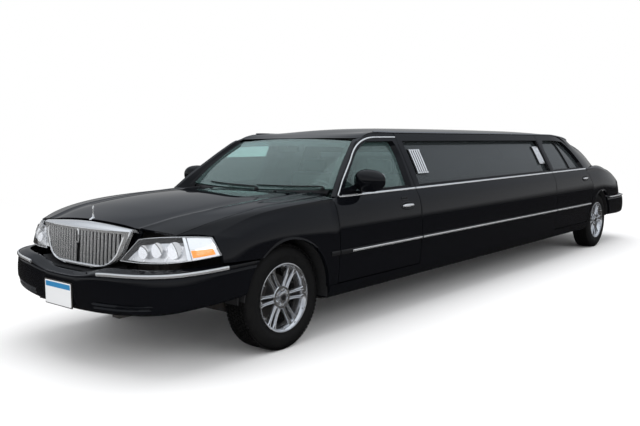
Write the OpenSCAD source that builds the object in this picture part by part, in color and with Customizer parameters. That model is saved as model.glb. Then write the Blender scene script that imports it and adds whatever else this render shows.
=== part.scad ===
// Stretch limousine: a long six-window saloon on a ladder frame.
// X points forward, Y to the car's left and Z up. The origin is on the ground, under
// the middle of the car. Panels are sheets between smooth character lines.

/* [Overall] */
// Distance between the front and the rear axle
wheelbase = 6038; // [5000:1:7300]
// Front axle to the tip of the front bumper
front_overhang = 1100; // [1080:1:1340]
// Rear axle to the tip of the rear bumper
rear_overhang = 1381; // [1370:1:1680]
// Width of the body at its widest line
body_width = 1986; // [1900:1:2400]
// Height of the roof above the ground
roof_height = 1516; // [1440:1:1830]

/* [Body lines] */
// Height of the rocker panel's lower edge
rocker_low = 285; // [240:1:300]
// Height of the rocker panel's upper edge
rocker_top = 376; // [360:1:390]
// Height of the widest line along the doors
waist_height = 655; // [600:1:720]
// Height of the belt line at the front door's hinges
belt_front = 985; // [930:1:1040]
// Rise of the belt line from the front door to the rear axle
belt_rise = 55; // [0:1:90]
// Inset of the belt line from the widest line
belt_inset = 73; // [40:1:110]
// Half the width of the roof at the top of the doors
roof_edge = 675; // [560:1:800]

/* [Doors] */
// Front axle to the front door's leading edge
front_door_start = 503; // [480:1:560]
// Length of the front door
front_door_length = 1085; // [900:1:1300]
// Rear axle to the rear door's leading edge
rear_door_start = 1538; // [1300:1:1900]
// Thickness of a door and of a body wall below the glass
wall_thick = 110; // [90:1:140]
// Thickness of a window frame
frame_thick = 45; // [36:1:55]
// Gap between a door and its neighbours
shut_gap = 7; // [6:1:10]
// Gap between the door's sill and the rocker panel
sill_gap = 8; // [6:1:14]
// How far a moving panel's edges lean in towards its inside
edge_lean = 24; // [20:1:30]
// Thickness of the side and rear glass
glass_thick = 5; // [4:1:6]

/* [Wheels] */
// Outside diameter of the tyres
tyre_diameter = 710; // [590:1:850]
// Width of the tyres
tyre_width = 218; // [180:1:262]
// Diameter of the rim's edge
rim_diameter = 466; // [400:1:540]
// Distance between the middles of the front tyres
front_track = 1610; // [1540:1:1680]
// Distance between the middles of the rear tyres
rear_track = 1640; // [1560:1:1700]
// Steering axis, inboard of the front wheel's middle
kingpin_inset = 70; // [50:1:90]
// Gap between a tyre's tread and its wheel arch
arch_gap = 60; // [50:1:80]

/* [Frame] */
// Height of the frame rails' lower face
rail_low = 185; // [170:1:200]
// Height of a frame rail
rail_deep = 110; // [90:1:115]
// Width of a frame rail
rail_wide = 70; // [50:1:90]
// Middle of a frame rail from the middle of the car
rail_out = 430; // [380:1:450]
// Thickness of the floor and of the firewall
floor_thick = 30; // [20:1:40]

/* [Plates] */
// Distance between the number plate's screws, across
plate_screws_wide = 177.8; // [150:0.1:200]
// Distance between the number plate's screws, up
plate_screws_high = 120.6; // [100:0.1:122]
// Radius of the number plate's screw holes
plate_hole_r = 3.2; // [2.5:0.1:4]

/* [Hidden] */

car_length = wheelbase + front_overhang + rear_overhang;
front_axle = car_length / 2 - front_overhang;
rear_axle_x = front_axle - wheelbase;
half_width = body_width / 2;
wheel_height = tyre_diameter / 2;
arch_radius = wheel_height + arch_gap;
door_low = rocker_top + sill_gap;
seam = 0.3;
glass_seam = 0.5;
clear = 6;
nose_shares = [0.36, 0.44, 0.52, 0.6, 0.66, 0.71, 0.76, 0.79, 0.82];

body_black = [0.03, 0.03, 0.035];
chrome = [0.8, 0.8, 0.82];
dark_glass = [0.15, 0.2, 0.2, 0.6];
steel = [0.3, 0.3, 0.32];
leather = [0.12, 0.11, 0.11];
rubber = [0.06, 0.06, 0.06];

// Places along the car, measured forward from the front and from the rear axle
function fa(d) = front_axle + d;
function ra(d) = rear_axle_x + d;

function mix(a, b, t) = a + (b - a) * t;
function limit(t, low = 0, high = 1) = max(low, min(high, t));

// Smooth curve through [place, value] points, straight beyond its ends
function span(p, x, i = 0) = i >= len(p) - 2 || x < p[i + 1][0] ? i : span(p, x, i + 1);
function tangent(p, i) = let (a = max(i - 1, 0), b = min(i + 1, len(p) - 1))
    (p[b][1] - p[a][1]) / (p[b][0] - p[a][0]);
function curve(p, x) = let (i = span(p, x), h = p[i + 1][0] - p[i][0],
        t = limit((x - p[i][0]) / h), m = tangent(p, i) * h, n = tangent(p, i + 1) * h)
    p[i][1] * (1 + 2 * t) * pow(1 - t, 2) + m * t * pow(1 - t, 2)
    + p[i + 1][1] * t * t * (3 - 2 * t) - n * t * t * (1 - t);

// Point at share t along a smooth line through points in space
function line_at(p, t) = [for (k = [0 : 2])
    curve([for (i = [0 : len(p) - 1]) [i / (len(p) - 1), p[i][k]]], t)];
function mirrored(p) = [p[0], -p[1], p[2]];

// ---- Character lines ----

function belt_z(x) = belt_front
    + belt_rise * limit((fa(-front_door_start) - x) / (wheelbase - front_door_start), -0.1, 1);

// How far the widest line has drawn in towards the nose and the tail
function taper(x) = curve([[ra(-1300), 150], [ra(-1150), 95], [ra(-1000), 62], [ra(-800), 38],
    [ra(-500), 20], [ra(0), 6], [ra(900), 0], [fa(-1600), 0], [fa(-500), 5], [fa(0), 12],
    [fa(350), 24], [fa(600), 46]], x);

// Inset of the side below the belt, by height; the belt counts as height 1
function wall_inset(z, belt) = z < waist_height
    ? curve([[0, 60], [0.25, 26], [0.3, 22], [0.85, 4], [1, 0]],
        limit((z - rocker_low) / (waist_height - rocker_low)))
    : curve([[0, 0], [0.42, 0.11], [0.8, 0.5], [1, 1]],
        limit((z - waist_height) / (belt - waist_height))) * belt_inset;

function roof_edge_z(x) = roof_height - curve([[ra(-100), 128], [ra(120), 80], [ra(400), 64],
    [ra(750), 61], [ra(1100), 60], [fa(-1600), 60], [fa(-1290), 62], [fa(-1000), 66]], x);
function roof_edge_y(x) = roof_edge - curve([[ra(-100), 190], [ra(120), 124], [ra(400), 42],
    [ra(750), 9], [ra(1100), 0], [fa(-1600), 0], [fa(-1290), 4], [fa(-1000), 10]], x);

// Side of the body at height share w: 0 is the sill, 1 the belt and 2 the roof's edge
function side_z(x, w, low) = w <= 1 ? mix(low, belt_z(x), w)
    : mix(belt_z(x), roof_edge_z(x), w - 1);
function side_y(x, z) = z <= belt_z(x) ? half_width - taper(x) - wall_inset(z, belt_z(x))
    : let (h = (z - belt_z(x)) / (roof_edge_z(x) - belt_z(x)))
        mix(half_width - taper(x) - belt_inset, roof_edge_y(x), h) + 34 * h * (1 - h);
function on_side(x, w, low, inward = 0) = let (z = side_z(x, w, low))
    [x, side_y(x, z) - inward, z];

// Outlines of the doors, as a place along the car at each height share
function front_door_front(w) = fa(-front_door_start)
    - curve([[0.97, 0], [1.02, 45], [1.25, 169], [1.5, 323], [1.75, 482], [1.9, 602],
        [2, 787]], w);
function front_door_rear(w) = fa(-front_door_start - front_door_length)
    - curve([[0, -8], [1, 0], [2, 26]], w);
function rear_door_front(w) = ra(rear_door_start) - curve([[0, -8], [1, 0], [2, 26]], w);
function rear_door_rear(w) = ra(0) + curve([[0, 478], [0.18, 455], [0.36, 400], [0.5, 350],
    [0.68, 328], [0.85, 405], [1, 438], [1.25, 463], [1.5, 513], [1.75, 598], [1.9, 688],
    [2, 858]], w);
// The gap along a door's sloping edges grows where they run flat
function outline_gap(w) = shut_gap
    + curve([[0.9, 0], [1.1, 3], [1.7, 5], [1.9, 10], [2, 22]], w);
function wall_at(w) = w >= 1 ? frame_thick
    : curve([[0, wall_thick], [0.82, wall_thick], [0.93, 78], [1, frame_thick]], w);

// ---- Sheets ----

// A closed sheet between two grids of points; cells for which open() holds are left out
module sheet(outer, inner, open = function (i, j) false) {
    n = len(outer);
    m = len(outer[0]);
    a = floor((n - 1) / 2);
    b = floor((m - 1) / 2);
    turned = cross(outer[a][b + 1] - outer[a][b], outer[a + 1][b] - outer[a][b])
        * (outer[a][b] - inner[a][b]) > 0;
    wall = function (i, j) i >= 0 && j >= 0 && i < n - 1 && j < m - 1 && !open(i, j);
    quad = function (p) turned ? [[p[0], p[1], p[2]], [p[0], p[2], p[3]]]
        : [[p[0], p[2], p[1]], [p[0], p[3], p[2]]];
    faces = [for (i = [0 : n - 2], j = [0 : m - 2]) if (wall(i, j)) let (
            p = i * m + j, q = p + m, k = n * m) each concat(
        quad([p, q, q + 1, p + 1]),
        quad([p + k, p + 1 + k, q + 1 + k, q + k]),
        wall(i - 1, j) ? [] : quad([p, p + 1, p + 1 + k, p + k]),
        wall(i + 1, j) ? [] : quad([q + 1, q, q + k, q + 1 + k]),
        wall(i, j - 1) ? [] : quad([q, p, p + k, q + k]),
        wall(i, j + 1) ? [] : quad([p + 1, q + 1, q + 1 + k, p + 1 + k]))];
    polyhedron(concat([for (r = outer) each r], [for (r = inner) each r]), faces);
}

module both_sides() {
    children();
    mirror([0, 1, 0]) children();
}

// A block between two corners
module block(low, high) {
    translate(low) cube(high - low);
}

// A plate with its outline in the car's side view, from y = low to y = high
module side_plate(low, high) {
    translate([0, high, 0]) rotate([90, 0, 0]) linear_extrude(high - low) children();
}

// ---- Side walls and doors ----

wall_rows = [0, 0.14, 0.32, 0.48, 0.6, 0.7, 0.78, 0.86, 0.93, 1];
door_rows = [each wall_rows, 1.06, 1.28, 1.55, 1.74, 1.86, 2];
window_low = 10;
window_high = 14;
frame_front = 0.07;
frame_rear = 0.042;

// Door between two outlines; its window frames are shares of its length
module door(front, rear, window_shares) {
    shares = [0, frame_front, each window_shares, 1 - frame_rear, 1];
    columns = len(shares);
    low = door_low;
    outer = [for (w = door_rows) [for (s = shares)
        on_side(mix(front(w), rear(w), s), w, low)]];
    inner = [for (w = door_rows) [for (s = shares) let (
            x = mix(front(w) - 8, rear(w) + edge_lean, s),
            p = on_side(x, w, low, wall_at(w)))
        [p[0], p[1], p[2] + (w == 0 ? 6 : w == 2 ? -36 : 0)]]];
    sheet(outer, inner, function (i, j)
        i >= window_low && i < window_high && j > 0 && j < columns - 2);
}

// Glass that closes the window of a door or of a wall, a seam inside its frame
module pane(front, rear, shares, rows, inward) {
    outer = [for (w = rows) [for (s = shares)
        on_side(mix(front(w), rear(w), s), w, door_low, inward)]];
    inner = [for (w = rows) [for (s = shares)
        on_side(mix(front(w), rear(w), s), w, door_low, inward + glass_thick)]];
    sheet(outer, inner);
}

pane_rows = [1.03, 1.28, 1.55, 1.74, 1.86];

module front_door() {
    color(body_black) door(function (w) front_door_front(w), function (w) front_door_rear(w),
        [0.3, 0.5, 0.7]);
    color(body_black) door_mirror();
}

module rear_door() {
    color(body_black) door(function (w) rear_door_front(w), function (w) rear_door_rear(w),
        [0.3, 0.5, 0.7]);
}

module front_glass() {
    color(dark_glass) pane(function (w) front_door_front(w), function (w) front_door_rear(w),
        [frame_front - 0.015, 0.3, 0.5, 0.7, 1 - frame_rear + 0.012], pane_rows,
        frame_thick + glass_seam);
}

module rear_glass() {
    color(dark_glass) pane(function (w) rear_door_front(w), function (w) rear_door_rear(w),
        [frame_front - 0.015, 0.3, 0.5, 0.7, 1 - frame_rear + 0.012], pane_rows,
        frame_thick + glass_seam);
}

// Housing of the outside mirror on its arm, ahead of the front glass
mirror_x = fa(-front_door_start - 352);
mirror_y = half_width - 8;
mirror_z = belt_front + 111;
mirror_long = 160;
mirror_wide = 250;
mirror_high = 155;

module door_mirror() {
    foot = fa(-front_door_start - 190);
    hull() {
        translate([mirror_x, mirror_y, mirror_z]) resize([mirror_long, mirror_wide, mirror_high])
            sphere(50, $fn = 16);
    }
    hull() {
        translate([mirror_x + 30, mirror_y - 70, mirror_z - 30]) sphere(22, $fn = 8);
        translate([foot, side_y(foot, belt_z(foot) + 40) - 10, belt_z(foot) + 40])
            sphere(24, $fn = 8);
    }
}

// Fixed side wall between the front and the rear doors
side_rows = door_rows;
function side_wall_front(w) = front_door_rear(w) - shut_gap;
function side_wall_rear(w) = rear_door_front(w) + shut_gap;

module side_wall() {
    length = front_door_rear(0) - rear_door_front(0);
    shares = [0, 75 / length, 0.18, 0.34, 0.5, 0.66, 0.82, 1 - 14 / length, 1];
    outer = [for (w = side_rows) [for (s = shares)
        on_side(mix(side_wall_front(w), side_wall_rear(w), s), w, rocker_top)]];
    inner = [for (w = side_rows) [for (s = shares)
        on_side(mix(side_wall_front(w), side_wall_rear(w), s), w, rocker_top, wall_at(w))
        - [0, 0, w == 2 ? 36 : 0]]];
    sheet(outer, inner, function (i, j)
        i >= window_low && i < window_high && j > 0 && j < len(shares) - 2);
}

module side_panels() {
    color(body_black) both_sides() side_wall();
}

module side_windows() {
    length = front_door_rear(0) - rear_door_front(0);
    color(dark_glass) both_sides() pane(function (w) side_wall_front(w),
        function (w) side_wall_rear(w),
        [60 / length, 0.18, 0.34, 0.5, 0.66, 0.82, 1 - 8 / length], pane_rows, frame_thick + glass_seam);
}

// Louvred lamps at both ends of the long side window
lamp_wide = [175, 148];
lamp_lean = -18;
lamp_thick = 22;

module opera_lamps() {
    places = [fa(-1755), ra(1702)];
    color(chrome) both_sides() for (k = [0, 1]) {
        x = places[k];
        wide = lamp_wide[k];
        w_low = 1.26;
        w_high = 1.70;
        step = [for (w = [w_low, (w_low + w_high) / 2, w_high]) w];
        outer = [for (w = step) [for (s = [0, 0.5, 1])
            on_side(x - s * wide + lamp_lean * (w - w_low), w, door_low,
                frame_thick - lamp_thick)]];
        inner = [for (w = step) [for (s = [0, 0.5, 1])
            on_side(x - s * wide + lamp_lean * (w - w_low), w, door_low,
                frame_thick)]];
        sheet(outer, inner);
    }
}

module rocker_panels() {
    front = fa(-arch_radius - 12);
    rear = ra(arch_radius + 12);
    top_y = half_width - 26;
    color(body_black) both_sides() translate([rear, 0, 0]) rotate([90, 0, 90])
        linear_extrude(front - rear) polygon([[top_y, rocker_top],
            [top_y - 6, rocker_top - 40], [half_width - 60, rocker_low],
            [half_width - 190, rocker_low], [half_width - 190, rocker_top]]);
    color(body_black) both_sides() for (x = [fa(-front_door_start - front_door_length / 2),
        ra(rear_door_start - 520)])
        block([x - 60, half_width - 190, rocker_top - 1],
            [x + 60, side_y(x, door_low) - wall_thick - 1, rocker_top + 40]);
}

// ---- Front end ----

// Hood's side shut line, centre line and crease, from the cowl to the nose
shut_line = [[-640, 745, 1003], [-400, 785, 991], [-100, 816, 978], [200, 838, 959],
    [430, 843, 930], [620, 818, 890], [768, 766, 842]];
hood_middle = [[-505, 0, 1018], [-250, 0, 1022], [0, 0, 1014], [250, 0, 995],
    [500, 0, 963], [700, 0, 926], [852, 0, 896]];
hood_crease = [[-600, 630, 1009], [-330, 648, 1001], [-50, 650, 988], [210, 640, 969],
    [440, 618, 946], [640, 575, 917], [840, 512, 868]];
function from_front(p) = [for (q = p) [fa(q[0]), q[1], q[2]]];
function widened(p) = [for (q = p) [q[0], q[1] * body_width / 1986, q[2]]];

function shut_at(t, gap = 0) = line_at(from_front(widened(shut_line)), t) + [0, gap, 0];

hood_shares = [-1, -0.86, -0.7, -0.4, 0, 0.4, 0.7, 0.86, 1];
function hood_point(t, u) = let (v = abs(u), c = line_at(from_front(hood_middle), t),
        k = line_at(from_front(widened(hood_crease)), t), s = shut_at(t, -clear / 2),
        f = limit(v / 0.7), g = limit((v - 0.7) / 0.3),
        p = v <= 0.7 ? [mix(c[0], k[0], f * f), mix(c[1], k[1], f),
            mix(c[2], k[2], pow(f, 1.8))] : mix(k, s, g) + [0, 0, 10 * g * (1 - g)])
    u < 0 ? mirrored(p) : p;

module hood() {
    steps = [0, each [for (t = nose_shares) mix(0.02, 1, (t - 0.3) / 0.52)]];
    outer = [for (t = steps) [for (u = hood_shares) hood_point(t, u)]];
    inner = [for (t = steps) [for (u = hood_shares) let (p = hood_point(
            mix(0.025, 0.985, t), u * 0.975)) p - [0, 0, 24]]];
    color(body_black) sheet(outer, inner);
}

// Upper edge of the front fender's side, from the door to the headlamp
fender_shoulder = [[-494, 918, 984], [-250, 918, 972], [0, 916, 958], [250, 910, 930],
    [430, 900, 885], [586, 882, 828]];
lamp_top_line = [[868, 530, 806], [850, 622, 820], [800, 730, 829], [708, 818, 829],
    [594, 876, 819]];
lamp_low_line = [[930, 427, 676], [902, 612, 676], [834, 784, 685], [712, 884, 700],
    [564, 923, 713]];
// Lower edge of the fender ahead of the arch, on top of the bumper
fender_nose = [[586, 882, 828], [574, 910, 765], [560, 929, 706], [556, 935, 664]];

function arch_point(axle, angle, depth = 0) = let (x = axle + arch_radius * cos(angle),
        z = wheel_height + arch_radius * sin(angle))
    [x, side_y(x, z) - depth, z];

// Outline of the front fender's side, at share t from the sill over the shoulder to the nose
arch_start = 180 - asin((rocker_top - wheel_height) / arch_radius);
bumper_top = 660;
arch_end = asin((bumper_top - wheel_height) / arch_radius);
function fender_outline(t) =
    t < 0.3 ? let (x = fa(-front_door_start) + shut_gap,
        z = mix(rocker_top, 984, t / 0.3)) [x, side_y(x, z), z]
    : t < 0.82 ? line_at(from_front(widened(fender_shoulder)), (t - 0.3) / 0.52)
    : line_at(from_front(widened(fender_nose)), (t - 0.82) / 0.18);

fender_skin = 28;
module front_fender() {
    shares = [0, 0.08, 0.16, 0.24, 0.3, each nose_shares, 0.9, 1];
    rings = [0, 0.12, 0.45, 0.8, 1];
    side = [for (r = rings) [for (t = shares) let (
            a = arch_point(front_axle, mix(arch_start, arch_end, t)),
            o = fender_outline(t), x = mix(a[0], o[0], r), z = mix(a[2], o[2], r),
            y = mix(side_y(x, z), o[1], pow(r, 4)))
        [x, y, z]]];
    top = [for (r = [0.35, 0.7, 1]) [for (t = shares) let (
            u = limit((t - 0.3) / 0.52), o = fender_outline(t),
            s = shut_at(mix(0.02, 1, u), clear / 2) + [0, 0, -1], p = mix(o, s, r),
            back = mix(pow(r, 4), r, limit(6 * u)))
        [mix(o[0], s[0], back), p[1], p[2] + 26 * r * (1 - r)]]];
    outer = concat(side, top);
    inner = [for (i = [0 : len(outer) - 1]) [for (j = [0 : len(shares) - 1]) let (
            p = outer[i][j], skin = mix(fender_skin, 10, limit((shares[j] - 0.3) / 0.52)))
        i < len(rings) - 1 || i == len(rings) - 1 && (j < 5 || j > 12) ? p - [0, fender_skin, 0]
        : i == len(rings) - 1 ? p - [0, fender_skin, skin / 2]
        : p - [0, i == len(outer) - 1 ? 0 : 10, skin]]];
    sheet(outer, inner, function (i, j) i >= len(rings) - 1 && (j < 4 || j >= 13));
}

module front_fenders() {
    color(body_black) both_sides() front_fender();
}

// Bumper skins: a section swept along the plan of the nose or the tail.
// Each row is [set back from the tip, height at the middle, height at the arch].
front_plan = [[1, 0], [0.996, 210], [0.984, 400], [0.952, 590], [0.893, 760], [0.79, 880],
    [0.65, 935], [0.5, 956], [0.375, 964]];
front_rows = [[62, 350, 440], [14, 384, 458], [0, 446, 505], [0, 520, 560], [6, 582, 615],
    [12, 616, 648], [60, 640, 657]];
rear_plan = [[1, 0], [0.996, 210], [0.988, 400], [0.97, 590], [0.935, 760], [0.86, 884],
    [0.74, 936], [0.55, 962], [0.36, 968]];
rear_rows = [[55, 330, 400], [14, 365, 420], [0, 430, 480], [0, 520, 560], [8, 596, 612],
    [14, 625, 645], [70, 655, 655]];
bumper_skin = 26;
bumper_shares = [for (i = [-11 : 11]) i / 11];

// Point of a bumper: share u from the right arch to the left one, and a row of its section
function bumper_point(plan, rows, reach, axle, way, u, i, inward) = let (
        v = abs(u), q = line_at([for (p = plan) [p[0] * reach, p[1] * body_width / 1986, 0]], v),
        q2 = line_at([for (p = plan) [p[0] * reach, p[1] * body_width / 1986, 0]],
            limit(v + 0.02)),
        q1 = line_at([for (p = plan) [p[0] * reach, p[1] * body_width / 1986, 0]],
            limit(v - 0.02)),
        d = (q2 - q1) / norm(q2 - q1), side = v > 0.7 ? (v - 0.7) / 0.3 : 0,
        back = rows[i][0] * (1 - 0.6 * side) + inward,
        z = mix(rows[i][1], rows[i][2], pow(v, 1.5)),
        end = sqrt(max(pow(arch_radius, 2) - pow(z - wheel_height, 2), 1)) + 2,
        x = q[0] - d[1] * back, y = q[1] + d[0] * back,
        slid = x + (max(end, x - 400) - reach * plan[len(plan) - 1][0]) * pow(side, 2))
    [axle + way * slid, u < 0 ? -y : y, z];

module bumper(plan, rows, reach, axle, way) {
    outer = [for (i = [0 : len(rows) - 1]) [for (u = bumper_shares)
        bumper_point(plan, rows, reach, axle, way, u, i, 0)]];
    inner = [for (i = [0 : len(rows) - 1]) [for (u = bumper_shares)
        bumper_point(plan, rows, reach, axle, way, u, i, bumper_skin)]];
    sheet(outer, inner);
}

module front_bumper() {
    color(body_black) bumper(front_plan, front_rows, front_overhang - 6.4, front_axle, 1);
}

module rear_bumper() {
    color(body_black) bumper(rear_plan, rear_rows, rear_overhang - 6.4, rear_axle_x, -1);
}

// Body-coloured panel behind the grille and between the headlamps
module header_panel() {
    rows = [660, 700, 760, 812, 850];
    shares = [for (i = [-6 : 6]) i / 6];
    function point(z, u, back) = let (reach = mix(450, 500, (z - 660) / 190))
        [fa(905 - 35 * u * u - 0.28 * (z - 660)) - back, u * reach, z];
    outer = [for (z = rows) [for (u = shares) point(z, u, 0)]];
    inner = [for (z = rows) [for (u = shares) point(z, u, 18)]];
    color(body_black) sheet(outer, inner,
        function (i, j) i > 0 && i < 3 && j > 1 && j < 10);
    color(body_black) both_sides() headlamp(bucket = true);
    color(body_black) both_sides() block([fa(836), 200, 836],
        [grille_x(240, 849) - 30 - 0.9, 240, 848]);
}

// Upright chrome grille: a frame with a wide top band, and a row of vertical bars
grille_top_half = 488;
grille_low = 612;
grille_high = 852;
function grille_x(y, z) = fa(962 - 0.2 * y * y / 1000 - 0.08 * (z - grille_low));
function grille_half(z) = curve([[grille_low, 150], [grille_low + 22, 300],
    [grille_low + 80, 400], [grille_low + 160, 450], [grille_high, grille_top_half]], z);

module grille() {
    heights = [grille_low, grille_low + 22, grille_low + 80, grille_low + 160,
        grille_high - 18, grille_high];
    shares = [-1, -0.9, -0.7, -0.5, -0.3, -0.1, 0.1, 0.3, 0.5, 0.7, 0.9, 1];
    function point(z, u, back) = let (y = u * grille_half(z)) [grille_x(y, z) - back, y, z];
    band = [for (u = shares) let (y = u * grille_top_half)
        [grille_x(y, grille_high) - 62 + 8 * u * u, y * 0.985, grille_high + 34 - 30 * u * u]];
    outer = concat([for (z = heights) [for (u = shares) point(z, u, 0)]], [band]);
    inner = concat([for (z = heights) [for (u = shares) point(z, u, 30)]],
        [[for (p = band) p - [14, 0, 22]]]);
    color(chrome) sheet(outer, inner, function (i, j)
        i > 0 && i < 4 && j > 0 && j < 10);
    color(chrome) for (k = [-17 : 17]) {
        y = k * 24;
        low = grille_low + 12 + curve([[270, 0], [360, 58], [405, 138]], max(abs(y), 270));
        if (abs(y) < 400) hull() {
            translate([grille_x(y, low) - 12, y, low]) cylinder(h = 1, r = 5, $fn = 6);
            translate([grille_x(y, grille_high) - 12, y, grille_high - 20])
                cylinder(h = 1, r = 5, $fn = 6);
        }
    }
}

// A headlamp or, behind it, the bucket that holds it
module headlamp(bucket = false) {
    steps = [for (i = [0 : 6]) i / 6];
    low = from_front(widened(lamp_low_line));
    high = from_front(widened(lamp_top_line));
    function point(t, v) = let (a = line_at(low, t), b = line_at(high, t)) mix(a, b, v)
        + [10 * v * (1 - v) * 2, 14 * v * (1 - v) * 2, 0];
    function behind(t, v, gap = 0) = point(mix(0.02, 0.98, t), v)
        + [-mix(46 + gap, 6 + gap, t * t), -mix(0, 30 + gap, t), -40 * v * v];
    rows = [0, 0.5, 1];
    if (bucket) sheet([for (v = rows) [for (t = steps) behind(t, v, seam + 0.4)]],
        [for (v = rows) [for (t = steps) behind(t, v, 10)]]);
    else sheet([for (v = rows) [for (t = steps) point(t, v)]],
        [for (v = rows) [for (t = steps) behind(t, v)]]);
}

module headlamps() {
    color([0.85, 0.87, 0.9, 0.7]) both_sides() headlamp();
}

// ---- Glass, pillars and roof ----

function windshield_point(u, v, inward = 0) = let (
        half = mix(735, 583, v), x = mix(-562, -1088, v) - mix(112, 26, v) * u * u,
        z = mix(1022, roof_height - 102, v) + mix(19, -24, v) * u * u,
        b = 22 * 4 * v * (1 - v) - inward)
    [fa(x) + 0.59 * b, u * half * body_width / 1986, z + 0.81 * b];

module windshield() {
    shares = [for (i = [-4 : 4]) i / 4];
    steps = [0, 0.25, 0.5, 0.75, 1];
    outer = [for (v = steps) [for (u = shares) windshield_point(u, v)]];
    inner = [for (v = steps) [for (u = shares) windshield_point(u, v, 6)]];
    color(dark_glass) sheet(outer, inner);
}

function back_glass_point(u, v, inward = 0) = let (
        half = mix(655, 545, v), x = mix(-560, 150, v) + mix(60, -40, v) * u * u,
        z = mix(1074, roof_height - 54, v) + mix(-8, -24, v) * u * u,
        b = 46 * 4 * v * (1 - v) - inward)
    [ra(x) - 0.52 * b, u * half * body_width / 1986, z + 0.85 * b];

module rear_window() {
    shares = [for (i = [-4 : 4]) i / 4];
    steps = [0, 0.25, 0.5, 0.75, 1];
    outer = [for (v = steps) [for (u = shares) back_glass_point(u, v)]];
    inner = [for (v = steps) [for (u = shares) back_glass_point(u, v, 5)]];
    color(dark_glass) sheet(outer, inner);
}

module windshield_pillar() {
    steps = [for (i = [0 : 6]) i / 6];
    outer_edge = [for (q = steps) let (w = mix(1.02, 1.9, q))
        on_side(front_door_front(w) + outline_gap(w), w, door_low)];
    inner_edge = [for (q = steps) windshield_point(1, mix(-0.06, 0.97, q)) + [0, 2.5, 0]];
    outer = [for (i = [0 : 6]) [for (s = [1, 0.5, 0])
        mix(outer_edge[i], inner_edge[i], s) + [6, 6, 8] * 4 * s * (1 - s)]];
    inner = [for (r = outer) [for (j = [0 : 2])
        r[j] + [[-14, -8, -26], [-8, -30, -22], [3, -40, 0]][j]]];
    sheet(outer, inner);
}

// Line where the rear fender's top meets the pillar and, behind it, the trunk lid
deck_line = [[429, 916, 1040], [150, 872, 1052], [-150, 800, 1060], [-505, 703, 1052],
    [-700, 700, 1028], [-950, 694, 993], [-1130, 684, 950], [-1215, 672, 905]];
function from_rear(p) = [for (q = p) [ra(q[0]), q[1], q[2]]];
function deck_at(t) = line_at(from_rear(widened(deck_line)), t);
pillar_share = 3 / 7;

module rear_pillar() {
    rows = [1.03, 1.25, 1.5, 1.75, 1.9, 2];
    shares = [0, 0.25, 0.5, 0.75, 1];
    function point(w, s) = let (
            g = (w - 1.03) / 0.97, f = rear_door_rear(w) - outline_gap(w),
            a = on_side(f, w, door_low), b = back_glass_point(1, mix(0.03, 1, g)) + [0, 0.9, 0],
            foot = deck_at(pillar_share * s) + [0, 0, seam],
            x = mix(a[0], b[0], s), k = pow(g, 3) * (1 - pow(s, 6)),
            p = [x, mix(mix(a[1], b[1], pow(s, 1.5)), roof_edge_y(x), k),
                mix(mix(a[2], b[2], s), roof_edge_z(x), k)],
            fall = pow(1 - g, 3))
        [mix(p[0], mix(a[0], foot[0], 0.9), fall), mix(p[1], foot[1], fall * s),
            mix(p[2], foot[2] + 1, fall)];
    outer = [for (w = rows) [for (s = shares) point(w, s)]];
    inner = [for (i = [0 : 5]) [for (j = [0 : 4])
        outer[i][j] - [0, mix(36, 0.4, shares[j]), mix(i == 5 ? 30 : 0, 26, shares[j])]]];
    sheet(outer, inner);
}

module roof_pillars() {
    color(body_black) both_sides() windshield_pillar();
    color(body_black) both_sides() rear_pillar();
}

function roof_mid_z(x) = roof_height - curve([[ra(158), 52], [ra(450), 30], [ra(900), 9],
    [ra(1500), 0], [fa(-2300), 0], [fa(-1700), 16], [fa(-1350), 58], [fa(-1090), 98]], x);
function roof_side_z(x) = roof_height - curve([[ra(118), 75], [ra(400), 59], [ra(750), 56],
    [ra(1100), 55], [fa(-1600), 55], [fa(-1310), 51], [fa(-1130), 93]], x);
function roof_side_y(x) = roof_edge - curve([[ra(118), 131], [ra(400), 48], [ra(750), 13],
    [ra(1100), 3], [fa(-1600), 3], [fa(-1310), 6], [fa(-1130), -14]], x);

module roof_panel() {
    places = [0, 0.02, 0.05, 0.1, 0.2, 0.35, 0.5, 0.65, 0.78, 0.88, 0.95, 1];
    shares = [-1, -0.94, -0.8, -0.55, -0.3, 0, 0.3, 0.55, 0.8, 0.94, 1];
    function point(s, u, inward) = let (
            x = mix(fa(-1096), ra(158), s) - mix(34, 40, s) * u * u,
            y = roof_side_y(x), c = roof_mid_z(x), e = roof_side_z(x))
        [x, u * (y - inward * 1.4), c - (c - e) * pow(abs(u), 2.4) - inward];
    outer = [for (s = places) [for (u = shares) point(s, u, 0)]];
    inner = [for (s = places) [for (u = shares)
        point(mix(0.004, 0.996, s), u, frame_thick * mix(0.18, 1, limit(12 * s - 0.6)))]];
    color(body_black) sheet(outer, inner);
}

// ---- Rear end ----

rear_shoulder = [[429, 919, 1036], [150, 914, 1036], [-150, 908, 1022], [-440, 898, 970],
    [-700, 884, 905], [-950, 860, 850], [-1130, 828, 800], [-1215, 806, 765]];
rear_tail = [[-1215, 806, 765], [-1220, 810, 730], [-1223, 814, 695], [-1224, 816, 662]];
rear_arch_start = asin((rocker_top - wheel_height) / arch_radius);
rear_arch_end = 180 - arch_end;

function quarter_outline(t) =
    t < 0.36 ? let (w = (t / 0.36), x = rear_door_rear(w) - outline_gap(w))
        on_side(x, w, rocker_top)
    : t < 0.84 ? line_at(from_rear(widened(rear_shoulder)), (t - 0.36) / 0.48)
    : line_at(from_rear(widened(rear_tail)), (t - 0.84) / 0.16);

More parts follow.
